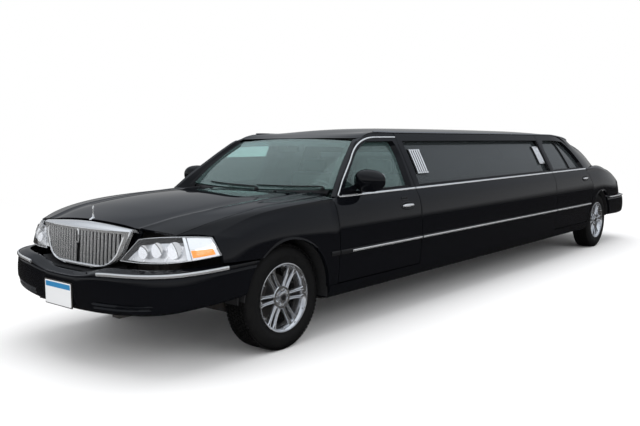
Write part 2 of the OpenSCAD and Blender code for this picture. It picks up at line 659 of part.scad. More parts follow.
module quarter_panel() {
    shares = [each 0.36 * wall_rows, 0.4286, 0.4971, 0.5657, 0.6343, 0.7029, 0.7714, 0.84,
        0.9, 1];
    rings = [0, 0.12, 0.45, 0.8, 1];
    side = [for (r = rings) [for (t = shares) let (
            a = arch_point(rear_axle_x, mix(rear_arch_start, rear_arch_end, t)),
            o = quarter_outline(t), x = mix(a[0], o[0], r), z = mix(a[2], o[2], r),
            y = mix(side_y(x, z), o[1], pow(r, 4)))
        [x, y, z]]];
    top = [for (r = [0.35, 0.7, 1]) [for (t = shares) let (
            u = limit((t - 0.36) / 0.48), o = quarter_outline(t), s = deck_at(u))
        mix(o, s, r) + [0, 0, 0.62 * (o[1] - s[1]) * r * (1 - r)]]];
    outer = concat(side, top);
    inner = [for (i = [0 : len(outer) - 1]) [for (j = [0 : len(shares) - 1]) let (
            p = outer[i][j])
        i < len(rings) - 1 || i == len(rings) - 1 && (j < 10 || j > 15) ? p - [0, fender_skin, 0]
        : i == len(rings) - 1 ? p - [0, fender_skin, fender_skin / 2]
        : p - [0, i == len(outer) - 1 ? 0 : 10, fender_skin]]];
    sheet(outer, inner, function (i, j) i >= len(rings) - 1 && (j < 9 || j >= 16));
}

module quarter_panels() {
    color(body_black) both_sides() quarter_panel();
}

// Trunk lid: a deck that bends down to the rear face
lid_profile = [[-574, 1064], [-800, 1068], [-980, 1060], [-1120, 1044], [-1210, 1014],
    [-1252, 955], [-1276, 880], [-1290, 790], [-1296, 700]];
lid_fall = [14, 42, 68, 94, 110, 66, 22, 5, 0];
lid_half = [692, 690, 684, 674, 662, 656, 652, 648, 646];

module trunk_lid() {
    shares = [-1, -0.8, -0.4, 0, 0.4, 0.8, 1];
    function point(i, u) = let (p = lid_profile[i], back = i > 3 ? 1 : 0)
        [ra(p[0] + (i == 0 ? 58 : 34 * back) * u * u), u * lid_half[i] * body_width / 1986,
            p[1] - lid_fall[i] * pow(abs(u), 3)];
    turn = [for (i = [0 : 8]) i < 3 ? [0, 0, -24] : i < 5 ? [16, 0, -20] : [24, 0, 0]];
    outer = [for (i = [0 : 8]) [for (u = shares) point(i, u)]];
    inner = [for (i = [0 : 8]) [for (u = shares) let (p = point(i, u * 0.985)) p + turn[i]
        + [i == 0 ? -8 : 0, 0, i == 8 ? 6 : 0]]];
    color(body_black) sheet(outer, inner);
}

// Lamp blocks between the trunk lid and the rear fenders
module tail_lamp() {
    shares = [0, 0.5, 1];
    outer = [for (h = shares) [for (s = shares)
        [ra(-1264 + 30 * s * s), mix(662, 772, s) * body_width / 1986,
            mix(668, mix(850, 772, s), h)]]];
    inner = [for (h = shares) [for (s = shares)
        [ra(-1214), mix(662, 772, s) * body_width / 1986, mix(668, mix(850, 772, s), h)]]];
    sheet(outer, inner);
}

module tail_lamps() {
    color([0.5, 0.02, 0.02]) both_sides() tail_lamp();
}

// ---- Chassis ----

rail_top = rail_low + rail_deep;
kick = 260;
module chassis_frame() {
    rail = [[fa(front_overhang - 124.4), rail_low + 150], [fa(420), rail_low + 150], [fa(-60), rail_low + 60],
        [fa(-420), rail_low], [ra(600), rail_low], [ra(330), rail_low + kick],
        [ra(60.1 - rear_overhang), rail_low + kick]];
    top = [for (i = [len(rail) - 1 : -1 : 0]) rail[i] + [0, rail_deep]];
    color(steel) both_sides() side_plate(rail_out - rail_wide / 2, rail_out + rail_wide / 2)
        polygon(concat(rail, top));
    inside = rail_out - rail_wide / 2;
    color(steel) for (x = [fa(-700), fa(-1600), fa(-2500), ra(1500), ra(850)])
        block([x - 40, -inside, rail_low + 10], [x + 40, inside, rail_low + 50]);
    color(steel) block([fa(730), -inside, rail_low + 165], [fa(790), inside, rail_top + 135]);
    color(steel) block([ra(-1190), -inside, rail_low + kick + 10],
        [ra(-1130), inside, rail_top + kick - 10]);
    color(steel) both_sides() for (x = [fa(-560), fa(-2050), ra(1700), ra(700)])
        block([x - 45, rail_out + rail_wide / 2, rail_low + 60],
            [x + 45, half_width - 190, rail_top]);
}

floor_low = rail_top;
trunk_floor = rail_low + kick + rail_deep;
module floor_pan() {
    half = half_width - 190;
    toe = fa(-520);
    heel = ra(640);
    color(steel) block([heel, -half, floor_low], [toe, half, floor_low + floor_thick]);
    color(steel) block([ra(460), -half, floor_low],
        [heel, -560, floor_low + floor_thick]);
    color(steel) block([ra(460), 560, floor_low], [heel, half, floor_low + floor_thick]);
    color(steel) block([heel - floor_thick, -560, floor_low],
        [heel, 560, trunk_floor + floor_thick]);
    color(steel) block([ra(-1180), -560, trunk_floor],
        [heel - floor_thick, 560, trunk_floor + floor_thick]);
    color(steel) block([ra(-1236), -540, trunk_floor], [ra(-1179), 540, 716]);
    color(steel) block([ra(-1246.8), -540, 662], [ra(-1235), 540, 716]);
}

// Half-round lining over a wheel, with a wall on its inner side
module wheelhouse(axle, inner_y) {
    side_plate(inner_y, half_width - 86) translate([axle, wheel_height]) difference() {
        circle(arch_radius + 14, $fn = 96);
        circle(arch_radius + 4, $fn = 96);
        translate([-800, -800]) square([1600, 800 + 25]);
    }
    side_plate(inner_y - 5, inner_y) translate([axle, wheel_height]) difference() {
        circle(arch_radius + 14, $fn = 96);
        translate([-800, -800]) square([1600, 800 + 100]);
    }
}

module wheelhouses() {
    color([0.06, 0.06, 0.06]) both_sides() wheelhouse(front_axle, rail_out + rail_wide / 2 + 10);
    color([0.06, 0.06, 0.06]) both_sides() wheelhouse(rear_axle_x, 565 + seam);
}

module engine_bay() {
    half = half_width - 190;
    back = fa(-520);
    apron = wheel_height + arch_radius + 14 + seam;
    color(steel) block([back, -half, floor_low], [back + floor_thick, half, 950]);
    color(steel) both_sides() block([back + floor_thick, 548, apron], [fa(600), 575, 850]);
    color(steel) block([fa(600), -575, 640], [fa(630), 575, 850]);
    color(steel) both_sides() block([fa(600), rail_out - 30, rail_top + 150],
        [fa(630), rail_out + 30, 640]);
    color(steel) both_sides() block([fa(629), 300, 700], [fa(849.4), 330, 730]);
    color([0.05, 0.05, 0.05]) both_sides() translate([fa(615), 480, 849])
        cylinder(h = 50.4, r = 14, $fn = 24);
}

module engine() {
    color(steel) block([fa(-420), -240, rail_low + 80 + seam], [fa(330), 240, 830]);
}

// Propeller shaft: level under the floor, then up to the axle's pinion
shaft_z = rail_low + 50 + seam + 25;
module propshaft() {
    from = [ra(600), shaft_z];
    to = [ra(111), wheel_height];
    color(steel) {
        translate([from[0], 0, from[1]]) rotate([0, 90, 0])
            cylinder(h = fa(-420) - seam - from[0], r = 25, $fn = 32);
        translate([to[0], 0, to[1]]) rotate([0, 90 + atan2(to[1] - from[1],
            from[0] - to[0]), 0]) cylinder(h = norm(from - to) + 4, r = 28, $fn = 32);
    }
}

front_wheel_y = front_track / 2;
rear_wheel_y = rear_track / 2;
kingpin_y = front_wheel_y - kingpin_inset;
spindle_r = 20;
hub_face = 35;

module front_suspension() {
    inner_y = rail_out - rail_wide / 2 - 2;
    color(steel) block([fa(-70), -inner_y, rail_low + 10], [fa(70), inner_y, rail_low + 80]);
    color(steel) both_sides() hull() {
        translate([fa(0), kingpin_y, rail_low + 32]) cylinder(h = 26, r = 30, $fn = 24);
        translate([fa(-60), inner_y - 20, rail_low + 32]) cube([120, 10, 26]);
    }
}

module knuckle() {
    color(steel) {
        translate([front_axle, kingpin_y, rail_low + 58 + seam])
            cylinder(h = 2 * (wheel_height - rail_low - 58 - seam), r = 26, $fn = 32);
        translate([front_axle, kingpin_y, wheel_height]) rotate([-90, 0, 0])
            cylinder(h = kingpin_inset - hub_face, r = 45, $fn = 48);
        translate([front_axle, kingpin_y, wheel_height]) rotate([-90, 0, 0])
            cylinder(h = kingpin_inset + 30, r = spindle_r, $fn = 48);
    }
}

module rear_axle() {
    color(steel) {
        translate([rear_axle_x, 0, wheel_height]) rotate([-90, 0, 0])
            cylinder(h = 2 * (rear_wheel_y - hub_face), r = 38, center = true, $fn = 48);
        translate([rear_axle_x, 0, wheel_height]) rotate([-90, 0, 0])
            cylinder(h = 2 * (rear_wheel_y + 30), r = spindle_r, center = true, $fn = 48);
        translate([rear_axle_x - 105, 0, wheel_height]) rotate([0, 90, 0])
            cylinder(h = 210, r = 100, $fn = 48);
        both_sides() translate([rear_axle_x, rail_out, wheel_height + 20])
            cylinder(h = rail_low + kick - seam - wheel_height - 20, r = 30, $fn = 24);
    }
}

module exhaust() {
    color([0.5, 0.5, 0.52]) both_sides() {
        translate([ra(700), 250, shaft_z]) rotate([0, 90, 0])
            cylinder(h = fa(-700) - 39 - ra(700), r = 25, $fn = 24);
        translate([ra(900), 250, rail_top - 60]) rotate([0, 90, 0])
            cylinder(h = 540, r = 54, $fn = 32);
    }
}

module fuel_tank() {
    color(steel) block([ra(-820), -380, trunk_floor - 180],
        [ra(-330), 380, trunk_floor - seam]);
}

// ---- Wheels ----

module tyre() {
    r = wheel_height;
    h = tyre_width / 2;
    bead = rim_diameter / 2 - 8;
    color(rubber) rotate([90, 0, 0]) rotate_extrude($fn = 96) polygon([[bead, -h + 22],
        [bead + 30, -h + 6], [r - 70, -h], [r - 28, -h + 6], [r - 8, -h + 22], [r, -h + 45],
        [r, h - 45], [r - 8, h - 22], [r - 28, h - 6], [r - 70, h], [bead + 30, h - 6],
        [bead, h - 22], [bead + 10, h - 34], [bead + 10, -h + 34]]);
}

spoke_pairs = 6;
module rim() {
    h = tyre_width / 2;
    edge = rim_diameter / 2;
    bead = edge - 8;
    color(chrome) rotate([-90, 0, 0]) {
        rotate_extrude($fn = 96) polygon([[bead - 0.5, -h + 22], [edge, -h + 10],
            [edge - 6, -h + 6], [bead - 12, -h + 20], [bead - 30, -h + 60],
            [bead - 30, h - 60], [bead - 14, h - 20], [edge - 8, h - 4], [edge, h - 4],
            [bead - 0.5, h - 22], [bead - 4, h - 52], [bead - 22, h - 70],
            [bead - 22, -h + 66], [bead - 8, -h + 40]]);
        difference() {
            translate([0, 0, -hub_face + 0.5]) cylinder(h = 114, r = 72, $fn = 64);
            translate([0, 0, -hub_face]) cylinder(h = 70, r = spindle_r + 0.5, $fn = 48);
        }
        translate([0, 0, 48]) cylinder(h = 34, r = 92, $fn = 64);
        intersection() {
            translate([0, 0, 52]) cylinder(h = 26, r = bead - 14, $fn = 96);
            for (k = [0 : spoke_pairs - 1], side = [-1, 1])
                rotate([0, 0, k * 360 / spoke_pairs]) translate([0, 0, 50])
                    linear_extrude(30) polygon([[55, side * 14], [bead, side * 30],
                        [bead, side * 56], [55, side * 42]]);
        }
    }
}

module front_wheel_at(side) {
    translate([front_axle, side * front_wheel_y, wheel_height])
        rotate([0, 0, side > 0 ? 0 : 180]) children();
}

module rear_wheel_at(side) {
    translate([rear_axle_x, side * rear_wheel_y, wheel_height])
        rotate([0, 0, side > 0 ? 0 : 180]) children();
}

// ---- Cabin ----

cabin_floor = floor_low + floor_thick;

module dashboard() {
    half = 690;
    color(leather) side_plate(-half, half) polygon([[fa(-600), 700], [fa(-600), 965],
        [fa(-700), 985], [fa(-860), 985], [fa(-940), 930], [fa(-930), 800], [fa(-800), 700]]);
    color(leather) block([fa(-601), -half, 920], [fa(-520), half, 948]);
}

wheel_y = 370;
module steering_wheel() {
    color(leather) translate([fa(-1060), wheel_y, 900]) rotate([0, -65, 0]) {
        rotate_extrude($fn = 48) translate([185, 0]) circle(14, $fn = 24);
        cylinder(h = 30, r = 60, center = true, $fn = 32);
        rotate([0, 0, 90]) translate([-180, -14, -8]) cube([360, 28, 16]);
    }
    color(leather) translate([fa(-1054), wheel_y, 897]) rotate([0, 115, 0])
        translate([0, 0, 8]) cylinder(h = 111, r = 24, $fn = 24);
}

// Rounded cushion between two corners
module cushion(low, high, r = 45) {
    hull() for (x = [low[0] + r, high[0] - r], y = [low[1] + r, high[1] - r],
        z = [low[2] + r, high[2] - r]) translate([x, y, z]) sphere(r, $fn = 8);
}

module front_seats() {
    color(leather) both_sides() {
        cushion([fa(-1740), 110, cabin_floor + 120], [fa(-1230), 640, cabin_floor + 290]);
        cushion([fa(-1895), 110, cabin_floor + 250], [fa(-1745), 640, cabin_floor + 830]);
        block([fa(-1860), 200, cabin_floor], [fa(-1300), 550, cabin_floor + 150]);
        block([fa(-1860), 200, cabin_floor + 100], [fa(-1790), 550, cabin_floor + 260]);
    }
}

partition_x = fa(-1990);
module partition() {
    half = half_width - 195;
    color(leather) rotate([90, 0, 90]) translate([0, 0, partition_x])
        linear_extrude(40) difference() {
            polygon([[-half, cabin_floor], [half, cabin_floor], [half, 900],
                [roof_edge - 95, roof_height - 122], [roof_edge - 300, roof_height - 74],
                [300 - roof_edge, roof_height - 74], [95 - roof_edge, roof_height - 122],
                [-half, 900]]);
            polygon([[-480, 960], [480, 960], [430, 1290], [-430, 1290]]);
        }
}

module bar_cabinet() {
    low = ra(1800);
    color([0.2, 0.12, 0.08]) difference() {
        block([low, 480, cabin_floor], [partition_x - 60, half_width - 200, 860]);
        block([low + 60, 460, cabin_floor + 120], [partition_x - 120, 760, 820]);
    }
}

module rear_seats() {
    wide = half_width - 230;
    color(leather) {
        cushion([ra(650), -wide, cabin_floor + 150], [ra(1130), wide, cabin_floor + 300]);
        cushion([ra(484), -540, trunk_floor + floor_thick + seam],
            [ra(643), 540, trunk_floor + floor_thick + 540]);
        block([ra(690), -wide + 60, cabin_floor], [ra(1080), wide - 60, cabin_floor + 190]);
        cushion([ra(1190), -wide, cabin_floor + 150], [partition_x - 120, -wide + 480,
            cabin_floor + 300]);
        block([ra(1230), -wide + 40, cabin_floor], [partition_x - 160, -wide + 440,
            cabin_floor + 190]);
        block([ra(510), -500, trunk_floor + floor_thick],
            [ra(590), 500, trunk_floor + floor_thick + 90]);
    }
}

// ---- Plates ----

module plate_bracket() {
    difference() {
        cube([6, 312, 160], center = true);
        for (y = [-1, 1], z = [-1, 1])
            translate([0, y * plate_screws_wide / 2, z * plate_screws_high / 2])
                rotate([0, 90, 0]) cylinder(h = 20, r = plate_hole_r, center = true, $fn = 32);
    }
}

module plate_brackets() {
    color([0.05, 0.05, 0.05]) translate([fa(front_overhang) - 3, 0, 450]) plate_bracket();
    color([0.05, 0.05, 0.05]) translate([ra(-rear_overhang) + 3, 0, 480]) plate_bracket();
}

// ---- Nodes ----

chassis_frame();
floor_pan();
wheelhouses();
engine_bay();
engine();
propshaft();
front_suspension();
rear_axle();
exhaust();
fuel_tank();
front_fenders();
front_bumper();
header_panel();
grille();
headlamps();
windshield();
roof_pillars();
roof_panel();
rocker_panels();
side_panels();
side_windows();
opera_lamps();
quarter_panels();
rear_window();
rear_bumper();
tail_lamps();
dashboard();
steering_wheel();
front_seats();
partition();
bar_cabinet();
rear_seats();
plate_brackets();
hood();
trunk_lid();
front_door();  // front_door_left
mirror([0, 1, 0]) front_door();  // front_door_right
rear_door();  // rear_door_left
mirror([0, 1, 0]) rear_door();  // rear_door_right
front_glass();  // front_glass_left
mirror([0, 1, 0]) front_glass();  // front_glass_right
rear_glass();  // rear_glass_left
mirror([0, 1, 0]) rear_glass();  // rear_glass_right
knuckle();  // knuckle_left
mirror([0, 1, 0]) knuckle();  // knuckle_right
front_wheel_at(1) tyre();  // tyre_front_left
front_wheel_at(-1) tyre();  // tyre_front_right
rear_wheel_at(1) tyre();  // tyre_rear_left
rear_wheel_at(-1) tyre();  // tyre_rear_right
front_wheel_at(1) rim();  // rim_front_left
front_wheel_at(-1) rim();  // rim_front_right
rear_wheel_at(1) rim();  // rim_rear_left
rear_wheel_at(-1) rim();  // rim_rear_right
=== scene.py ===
# %% [markdown]
# # Stretch limousine
# The looks of a long six-window saloon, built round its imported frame. Everything that opens,
# steers or rolls rides on its own body, so that it can still move. Lengths in the formulas are
# millimetres; meshes are metres, with X forward, Y to the car's left and Z up.

import math

import bmesh
import bpy
import numpy as np
from mathutils import Matrix, Vector


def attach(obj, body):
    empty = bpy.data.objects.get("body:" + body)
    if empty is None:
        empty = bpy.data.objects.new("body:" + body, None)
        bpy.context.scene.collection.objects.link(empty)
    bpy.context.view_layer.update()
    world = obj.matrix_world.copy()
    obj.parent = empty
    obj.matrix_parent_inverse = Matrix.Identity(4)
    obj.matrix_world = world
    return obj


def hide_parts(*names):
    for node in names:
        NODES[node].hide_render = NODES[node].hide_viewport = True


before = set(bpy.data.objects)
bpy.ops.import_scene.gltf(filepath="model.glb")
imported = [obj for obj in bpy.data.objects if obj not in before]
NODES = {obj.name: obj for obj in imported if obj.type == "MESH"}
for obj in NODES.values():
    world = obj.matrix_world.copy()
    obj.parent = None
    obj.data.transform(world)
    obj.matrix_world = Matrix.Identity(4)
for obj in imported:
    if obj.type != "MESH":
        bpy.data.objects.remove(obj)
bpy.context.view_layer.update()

# %% [markdown]
# ## Driving sizes
# A body is laid out from a few sizes: wheelbase, overhangs, width, belt and roof. They could be
# typed into every panel, but named once here they keep panels, glass and trim in step.

# %% Driving sizes
WHEELBASE, FRONT, REAR = 6038, 1100, 1381
HALF, ROOF, EDGE = 993, 1516, 675
ROCKER_LOW, ROCKER_TOP, WAIST, BELT, RISE, INSET = 285, 376, 655, 985, 55, 73
DOOR_START, DOOR_LONG, REAR_DOOR = 503, 1085, 1538
WALL, FRAME, GAP, LEAN = 110, 45, 7, 24
AXLE_Z, TYRE_HALF, RIM_R, ARCH = 355, 109, 233, 396
FRONT_Y, REAR_Y = 805, 820
FX = (WHEELBASE + FRONT + REAR) / 2 - FRONT
RX = FX - WHEELBASE
DOOR_LOW = ROCKER_TOP + 8


def fa(d):
    return FX + d


def ra(d):
    return RX + d


print("sizes set for a wheelbase of", WHEELBASE, "mm")

# %% [markdown]
# ## Smooth lines
# A car is drawn with long lines through few points. Curve objects could hold them, but a cubic
# formula can be asked for any place at once, so neighbours meet on the same numbers.


# %% Smooth lines
def mix(a, b, t):
    return a + (b - a) * t


def limit(t, low=0.0, high=1.0):
    return max(low, min(high, t))


def curve(p, x):
    i = 0
    while i < len(p) - 2 and x >= p[i + 1][0]:
        i += 1

    def slope(k):
        a, b = p[max(k - 1, 0)], p[min(k + 1, len(p) - 1)]
        return (b[1] - a[1]) / (b[0] - a[0])

    h = p[i + 1][0] - p[i][0]
    t = limit((x - p[i][0]) / h)
    m, n = slope(i) * h, slope(i + 1) * h
    return (
        p[i][1] * (1 + 2 * t) * (1 - t) ** 2
        + m * t * (1 - t) ** 2
        + p[i + 1][1] * t * t * (3 - 2 * t)
        - n * t * t * (1 - t)
    )


def line_at(p, t):
    last = len(p) - 1
    return np.array([curve([(i / last, p[i][k]) for i in range(last + 1)], t) for k in range(3)])


def refine(values, n):
    out = []
    for a, b in zip(values, values[1:]):
        out += [mix(a, b, k / n) for k in range(n)]
    return out + [values[-1]]


def spread(a, b, n):
    return [mix(a, b, k / n) for k in range(n + 1)]


print("halfway on a test line:", curve([(0, 0), (1, 2), (2, 2)], 0.5))

# %% [markdown]
# ## The side as one surface
# The real side is one skin from sill to roof, cut up by the doors. Booleans would cut it with ragged
# faces. As a formula of the place along the car and a height share, 0 at the sill, 1 at the belt
# and 2 at the roof's edge, it gives each door a clean grid.


# %% The side as one surface
def belt_z(x):
    return BELT + RISE * limit((fa(-DOOR_START) - x) / (WHEELBASE - DOOR_START), -0.1, 1)


TAPER = [(ra(-1300), 150), (ra(-1150), 95), (ra(-1000), 62), (ra(-800), 38), (ra(-500), 20),
         (ra(0), 6), (ra(900), 0), (fa(-1600), 0), (fa(-500), 5), (fa(0), 12), (fa(350), 24),
         (fa(600), 46)]
EDGE_DROP = [(ra(-100), 222), (ra(120), 163), (ra(400), 110), (ra(750), 77), (ra(1100), 60),
             (fa(-1600), 60), (fa(-1290), 62), (fa(-1000), 66)]
EDGE_IN = [(ra(-100), 190), (ra(120), 124), (ra(400), 42), (ra(750), 9), (ra(1100), 0),
           (fa(-1600), 0), (fa(-1290), 4), (fa(-1000), 10)]


def wall_inset(z, belt):
    if z < WAIST:
        t = limit((z - ROCKER_LOW) / (WAIST - ROCKER_LOW))
        return curve([(0, 60), (0.25, 26), (0.3, 22), (0.85, 4), (1, 0)], t)
    t = limit((z - WAIST) / (belt - WAIST))
    return curve([(0, 0), (0.42, 0.11), (0.8, 0.5), (1, 1)], t) * INSET


def edge_z(x):
    return ROOF - curve(EDGE_DROP, x)


def edge_y(x):
    return EDGE - curve(EDGE_IN, x)


def side_z(x, w, low):
    b = belt_z(x)
    return mix(low, b, w) if w <= 1 else mix(b, edge_z(x), w - 1)


def side_y(x, z):
    b, y = belt_z(x), HALF - curve(TAPER, x)
    if z <= b:
        return y - wall_inset(z, b)
    h = (z - b) / (edge_z(x) - b)
    return mix(y - INSET, edge_y(x), h) + 34 * h * (1 - h)


def on_side(x, w, low, inward=0.0):
    z = side_z(x, w, low)
    return np.array([x, side_y(x, z) - inward, z])


print("belt at the front wheel:", round(belt_z(FX)), "mm")

# %% [markdown]
# ## Where the side is cut
# A door's ends lean and curve. Knife cuts could trace that, but a function of the height share
# gives door, wall and seal the very same edge.


# %% Where the side is cut
def front_door_front(w):
    return fa(-DOOR_START) - curve([(0.97, 0), (1.02, 45), (1.25, 169), (1.5, 323), (1.75, 482),
            (1.9, 602), (2, 787)], w)


def door_curve(w):
    return curve([(0, -8), (1, 0), (2, 26)], w)


def front_door_rear(w):
    return fa(-DOOR_START - DOOR_LONG) - door_curve(w)


def rear_door_front(w):
    return ra(REAR_DOOR) - door_curve(w)


def rear_door_rear(w):
    return ra(0) + curve([(0, 478), (0.18, 455), (0.36, 400), (0.5, 350), (0.68, 328),
            (0.85, 405), (1, 438), (1.25, 463), (1.5, 513), (1.75, 598),
            (1.9, 688), (2, 858)], w)


def outline_gap(w):
    return GAP + curve([(0.9, 0), (1.1, 3), (1.7, 5), (1.9, 10), (2, 22)], w)


def wall_at(w):
    if w >= 1:
        return FRAME
    return curve([(0, WALL), (0.82, WALL), (0.93, 78), (1, FRAME)], w)


print("length", round(2 * fa(FRONT)), "mm")

# %% [markdown]
# ## Making a piece
# Each shape becomes a named object on one body and takes the place of a plain part. The menu's
# operators could do it; plain data calls are quicker and don't depend on what is selected.

# %% Making a piece
SLOTS = {"gloss_black_paint": "body_paint", "chrome": "chrome", "roof_trim": "chrome",
         "tyre_rubber": "tyre", "polished_alloy": "wheel_alloy", "black_seal": "black_plastic",
         "black_plastic": "black_plastic", "arch_lining": "black_plastic",
         "lamp_lens": "lamp_lens", "front_glass": "tinted_glass", "rear_glass": "tinted_glass",
         "shade_band": "tinted_glass", "red_lens": "red_lens", "dark_leather": "dark_leather"}
HANDS = (("left", 1), ("right", -1))


def piece(name, verts, faces, body, material, slot=None, replaces=(), sharp=32, smooth=True):
    """A mesh from points in millimetres, welded, with its faces pointing outwards."""
    mesh = bpy.data.meshes.new(name)
    mesh.from_pydata((np.asarray(verts, float) / 1000).tolist(), [], [list(f) for f in faces])
    bm = bmesh.new()
    bm.from_mesh(mesh)
    bmesh.ops.remove_doubles(bm, verts=bm.verts, dist=1e-6)
    bmesh.ops.recalc_face_normals(bm, faces=bm.faces)
    bm.to_mesh(mesh)
    bm.free()
    if smooth:
        mesh.shade_smooth()
        mesh.set_sharp_from_angle(angle=math.radians(sharp))
    mesh.materials.append(material)
    return placed(name, mesh, body, material, slot, replaces)


def placed(name, mesh, body, material, slot=None, replaces=()):
    """Puts a mesh on its body. A slot is looked up from its finish unless one is given, and is not
    kept.
    """
    obj = bpy.data.objects.new(name, mesh)
    bpy.context.scene.collection.objects.link(obj)
    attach(obj, body)
    if slot is None:
        # a finish is called chrome.001 when the frame already holds a chrome
        slot = SLOTS.get(material.name.split(".")[0])
    if replaces:
        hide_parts(*replaces)
    return obj


def flip(verts):
    return np.asarray(verts, float) * [1, -1, 1]


print(len(SLOTS), "finishes have a slot")

# %% [markdown]
# ## Closed shapes
# Panels are pressed sheets, trim is a section run along a line, wheels are turned. Solidify, curve
# bevels and the Screw modifier could make them; writing the faces keeps every seam closed.


# %% Closed shapes
def shell(outer, inner, opening=None):
    """Vertices and faces of a closed sheet between two grids."""
    outer, inner = np.asarray(outer, float), np.asarray(inner, float)
    n, m = outer.shape[:2]
    k = n * m
    shut = np.ones((n + 1, m + 1), bool)
    shut[0, :] = shut[n, :] = shut[:, 0] = shut[:, m] = False
    if opening:
        for i in range(n - 1):
            for j in range(m - 1):
                shut[i + 1, j + 1] = not opening(i, j)
    faces = []
    for i in range(n - 1):
        for j in range(m - 1):
            if not shut[i + 1, j + 1]:
                continue
            p = i * m + j
            q = p + m
            faces.append((p, q, q + 1, p + 1))
            faces.append((p + k, p + 1 + k, q + 1 + k, q + k))
            if not shut[i, j + 1]:
                faces.append((p, p + 1, p + 1 + k, p + k))
            if not shut[i + 2, j + 1]:
                faces.append((q + 1, q, q + k, q + 1 + k))
            if not shut[i + 1, j]:
                faces.append((q, p, p + k, q + k))
            if not shut[i + 1, j + 2]:
                faces.append((p + 1, q + 1, q + 1 + k, p + 1 + k))
    verts = np.concatenate([outer.reshape(-1, 3), inner.reshape(-1, 3)])
    used = sorted({v for f in faces for v in f})
    new = {v: i for i, v in enumerate(used)}
    return verts[used], [tuple(new[v] for v in f) for f in faces]


def unit(v):
    return v / np.linalg.norm(v)


def around(n):
    """n angles evenly round a full turn."""
    return [2 * math.pi * k / n for k in range(n)]


def sweep(path, section, outs):
    """Carries a section of (out, across) points along a path. outs gives the out direction."""
    path, rings = [np.asarray(p, float) for p in path], []
    last = len(path) - 1
    for i, p in enumerate(path):
        ahead = unit(path[min(i + 1, last)] - path[max(i - 1, 0)])
        out = np.asarray(outs[i] if isinstance(outs, list) else outs, float)
        out = unit(out - ahead * (out @ ahead))
        across = np.cross(ahead, out)
        rings.append([p + out * u + across * v for u, v in section])
    return loft(rings)


def loft(rings, closed=False):
    """Skins rings of equal length, and caps both ends unless the last meets the first."""
    m = len(rings[0])
    verts = np.array([v for r in rings for v in r])
    faces = []
    n = len(rings)
    for i in range(n if closed else n - 1):
        for j in range(m):
            a, b = i * m + j, i * m + (j + 1) % m
            c, d = ((i + 1) % n) * m + (j + 1) % m, ((i + 1) % n) * m + j
            faces.append((a, b, c, d))
    if not closed:
        faces.append(tuple(range(m - 1, -1, -1)))
        faces.append(tuple((n - 1) * m + j for j in range(m)))
    return verts, faces


def lathe(profile, n=96):
    """Turns a closed profile of (radius, along) about the Y axis."""
    return loft([[(r * math.cos(a), y, r * math.sin(a)) for r, y in profile]
                 for a in around(n)], closed=True)


print("shell, sweep, loft and lathe ready")

# %% [markdown]
# ## Small helpers
# Most parts come in pairs. A Mirror modifier would keep both in one object, but the two doors must
# open by themselves, so `both` makes two pieces. `bevel` breaks an edge, as a mould or press does.


# %% Small helpers
def box_at(low, high):
    x, y, z = zip(low, high)
    v = [(x[i], y[j], z[k]) for i in (0, 1) for j in (0, 1) for k in (0, 1)]
    return np.array(v, float), [(0, 1, 3, 2), (4, 6, 7, 5), (0, 4, 5, 1), (2, 3, 7, 6),
            (0, 2, 6, 4), (1, 5, 7, 3)]


def merged(*parts):
    verts, faces, base = [], [], 0
    for v, f in parts:
        verts.append(np.asarray(v, float))
        faces += [tuple(i + base for i in q) for q in f]
        base += len(v)
    return np.concatenate(verts), faces


def turned(part, axis, degrees):
    m = np.array(Matrix.Rotation(math.radians(degrees), 3, axis))
    return np.asarray(part[0], float) @ m.T, part[1]


def rounded(wide, high, r, n=4):
    """Outline of a rounded rectangle, as (across, up) pairs."""
    out = []
    for cx, cy, a in ((1, 1, 0), (-1, 1, 90), (-1, -1, 180), (1, -1, 270)):
        for k in range(n + 1):
            t = math.radians(a + 90 * k / n)
            out.append((cx * (wide / 2 - r) + r * math.cos(t),
                        cy * (high / 2 - r) + r * math.sin(t)))
    return out


def both(name, part, body, material, **more):
    """The same piece on the left and, mirrored, on the right."""
    for side, v in (("left", part[0]), ("right", flip(part[0]))):
        extra = {k: (tuple(n.replace("SIDE", side) for n in w) if k == "replaces" else w)
                 for k, w in more.items()}
        piece(f"{name}_{side}", v, part[1], body.replace("SIDE", side), material, **extra)


def bevel(obj, width):
    m = obj.modifiers.new("edge", "BEVEL")
    m.width, m.segments, m.limit_method = width / 1000, 2, "ANGLE"
    m.angle_limit = math.radians(35)
    m.harden_normals = False


print("helpers ready")

# %% [markdown]
# ## Uneven polish
# Nothing real is equally smooth all over. An image of smears would need unwrapping; noise read at
# Object coordinates doesn't, and as one group each finish places it with its own values.


# %% Uneven polish
def wire(links, *runs):
    """Joins sockets: each run is (node, its output, next node, its input)."""
    for node, output, following, entry in runs:
        links.new(node.outputs[output], following.inputs[entry])


def settle(node, **values):
    """Sets a node's inputs by name, with underscores for spaces."""
    for name, value in values.items():
        node.inputs[name.replace("_", " ")].default_value = value


def add_inputs(group, sockets):
    for name, kind, value in sockets:
        made = group.interface.new_socket(name=name, in_out="INPUT", socket_type=kind)
        if value is not None:
            made.default_value = value


def shader_group(name, sockets_in, sockets_out):
    g = bpy.data.node_groups.new(name, "ShaderNodeTree")
    add_inputs(g, sockets_in)
    for s, kind in sockets_out:
        g.interface.new_socket(name=s, in_out="OUTPUT", socket_type=kind)
    return g, g.nodes.new("NodeGroupInput"), g.nodes.new("NodeGroupOutput")


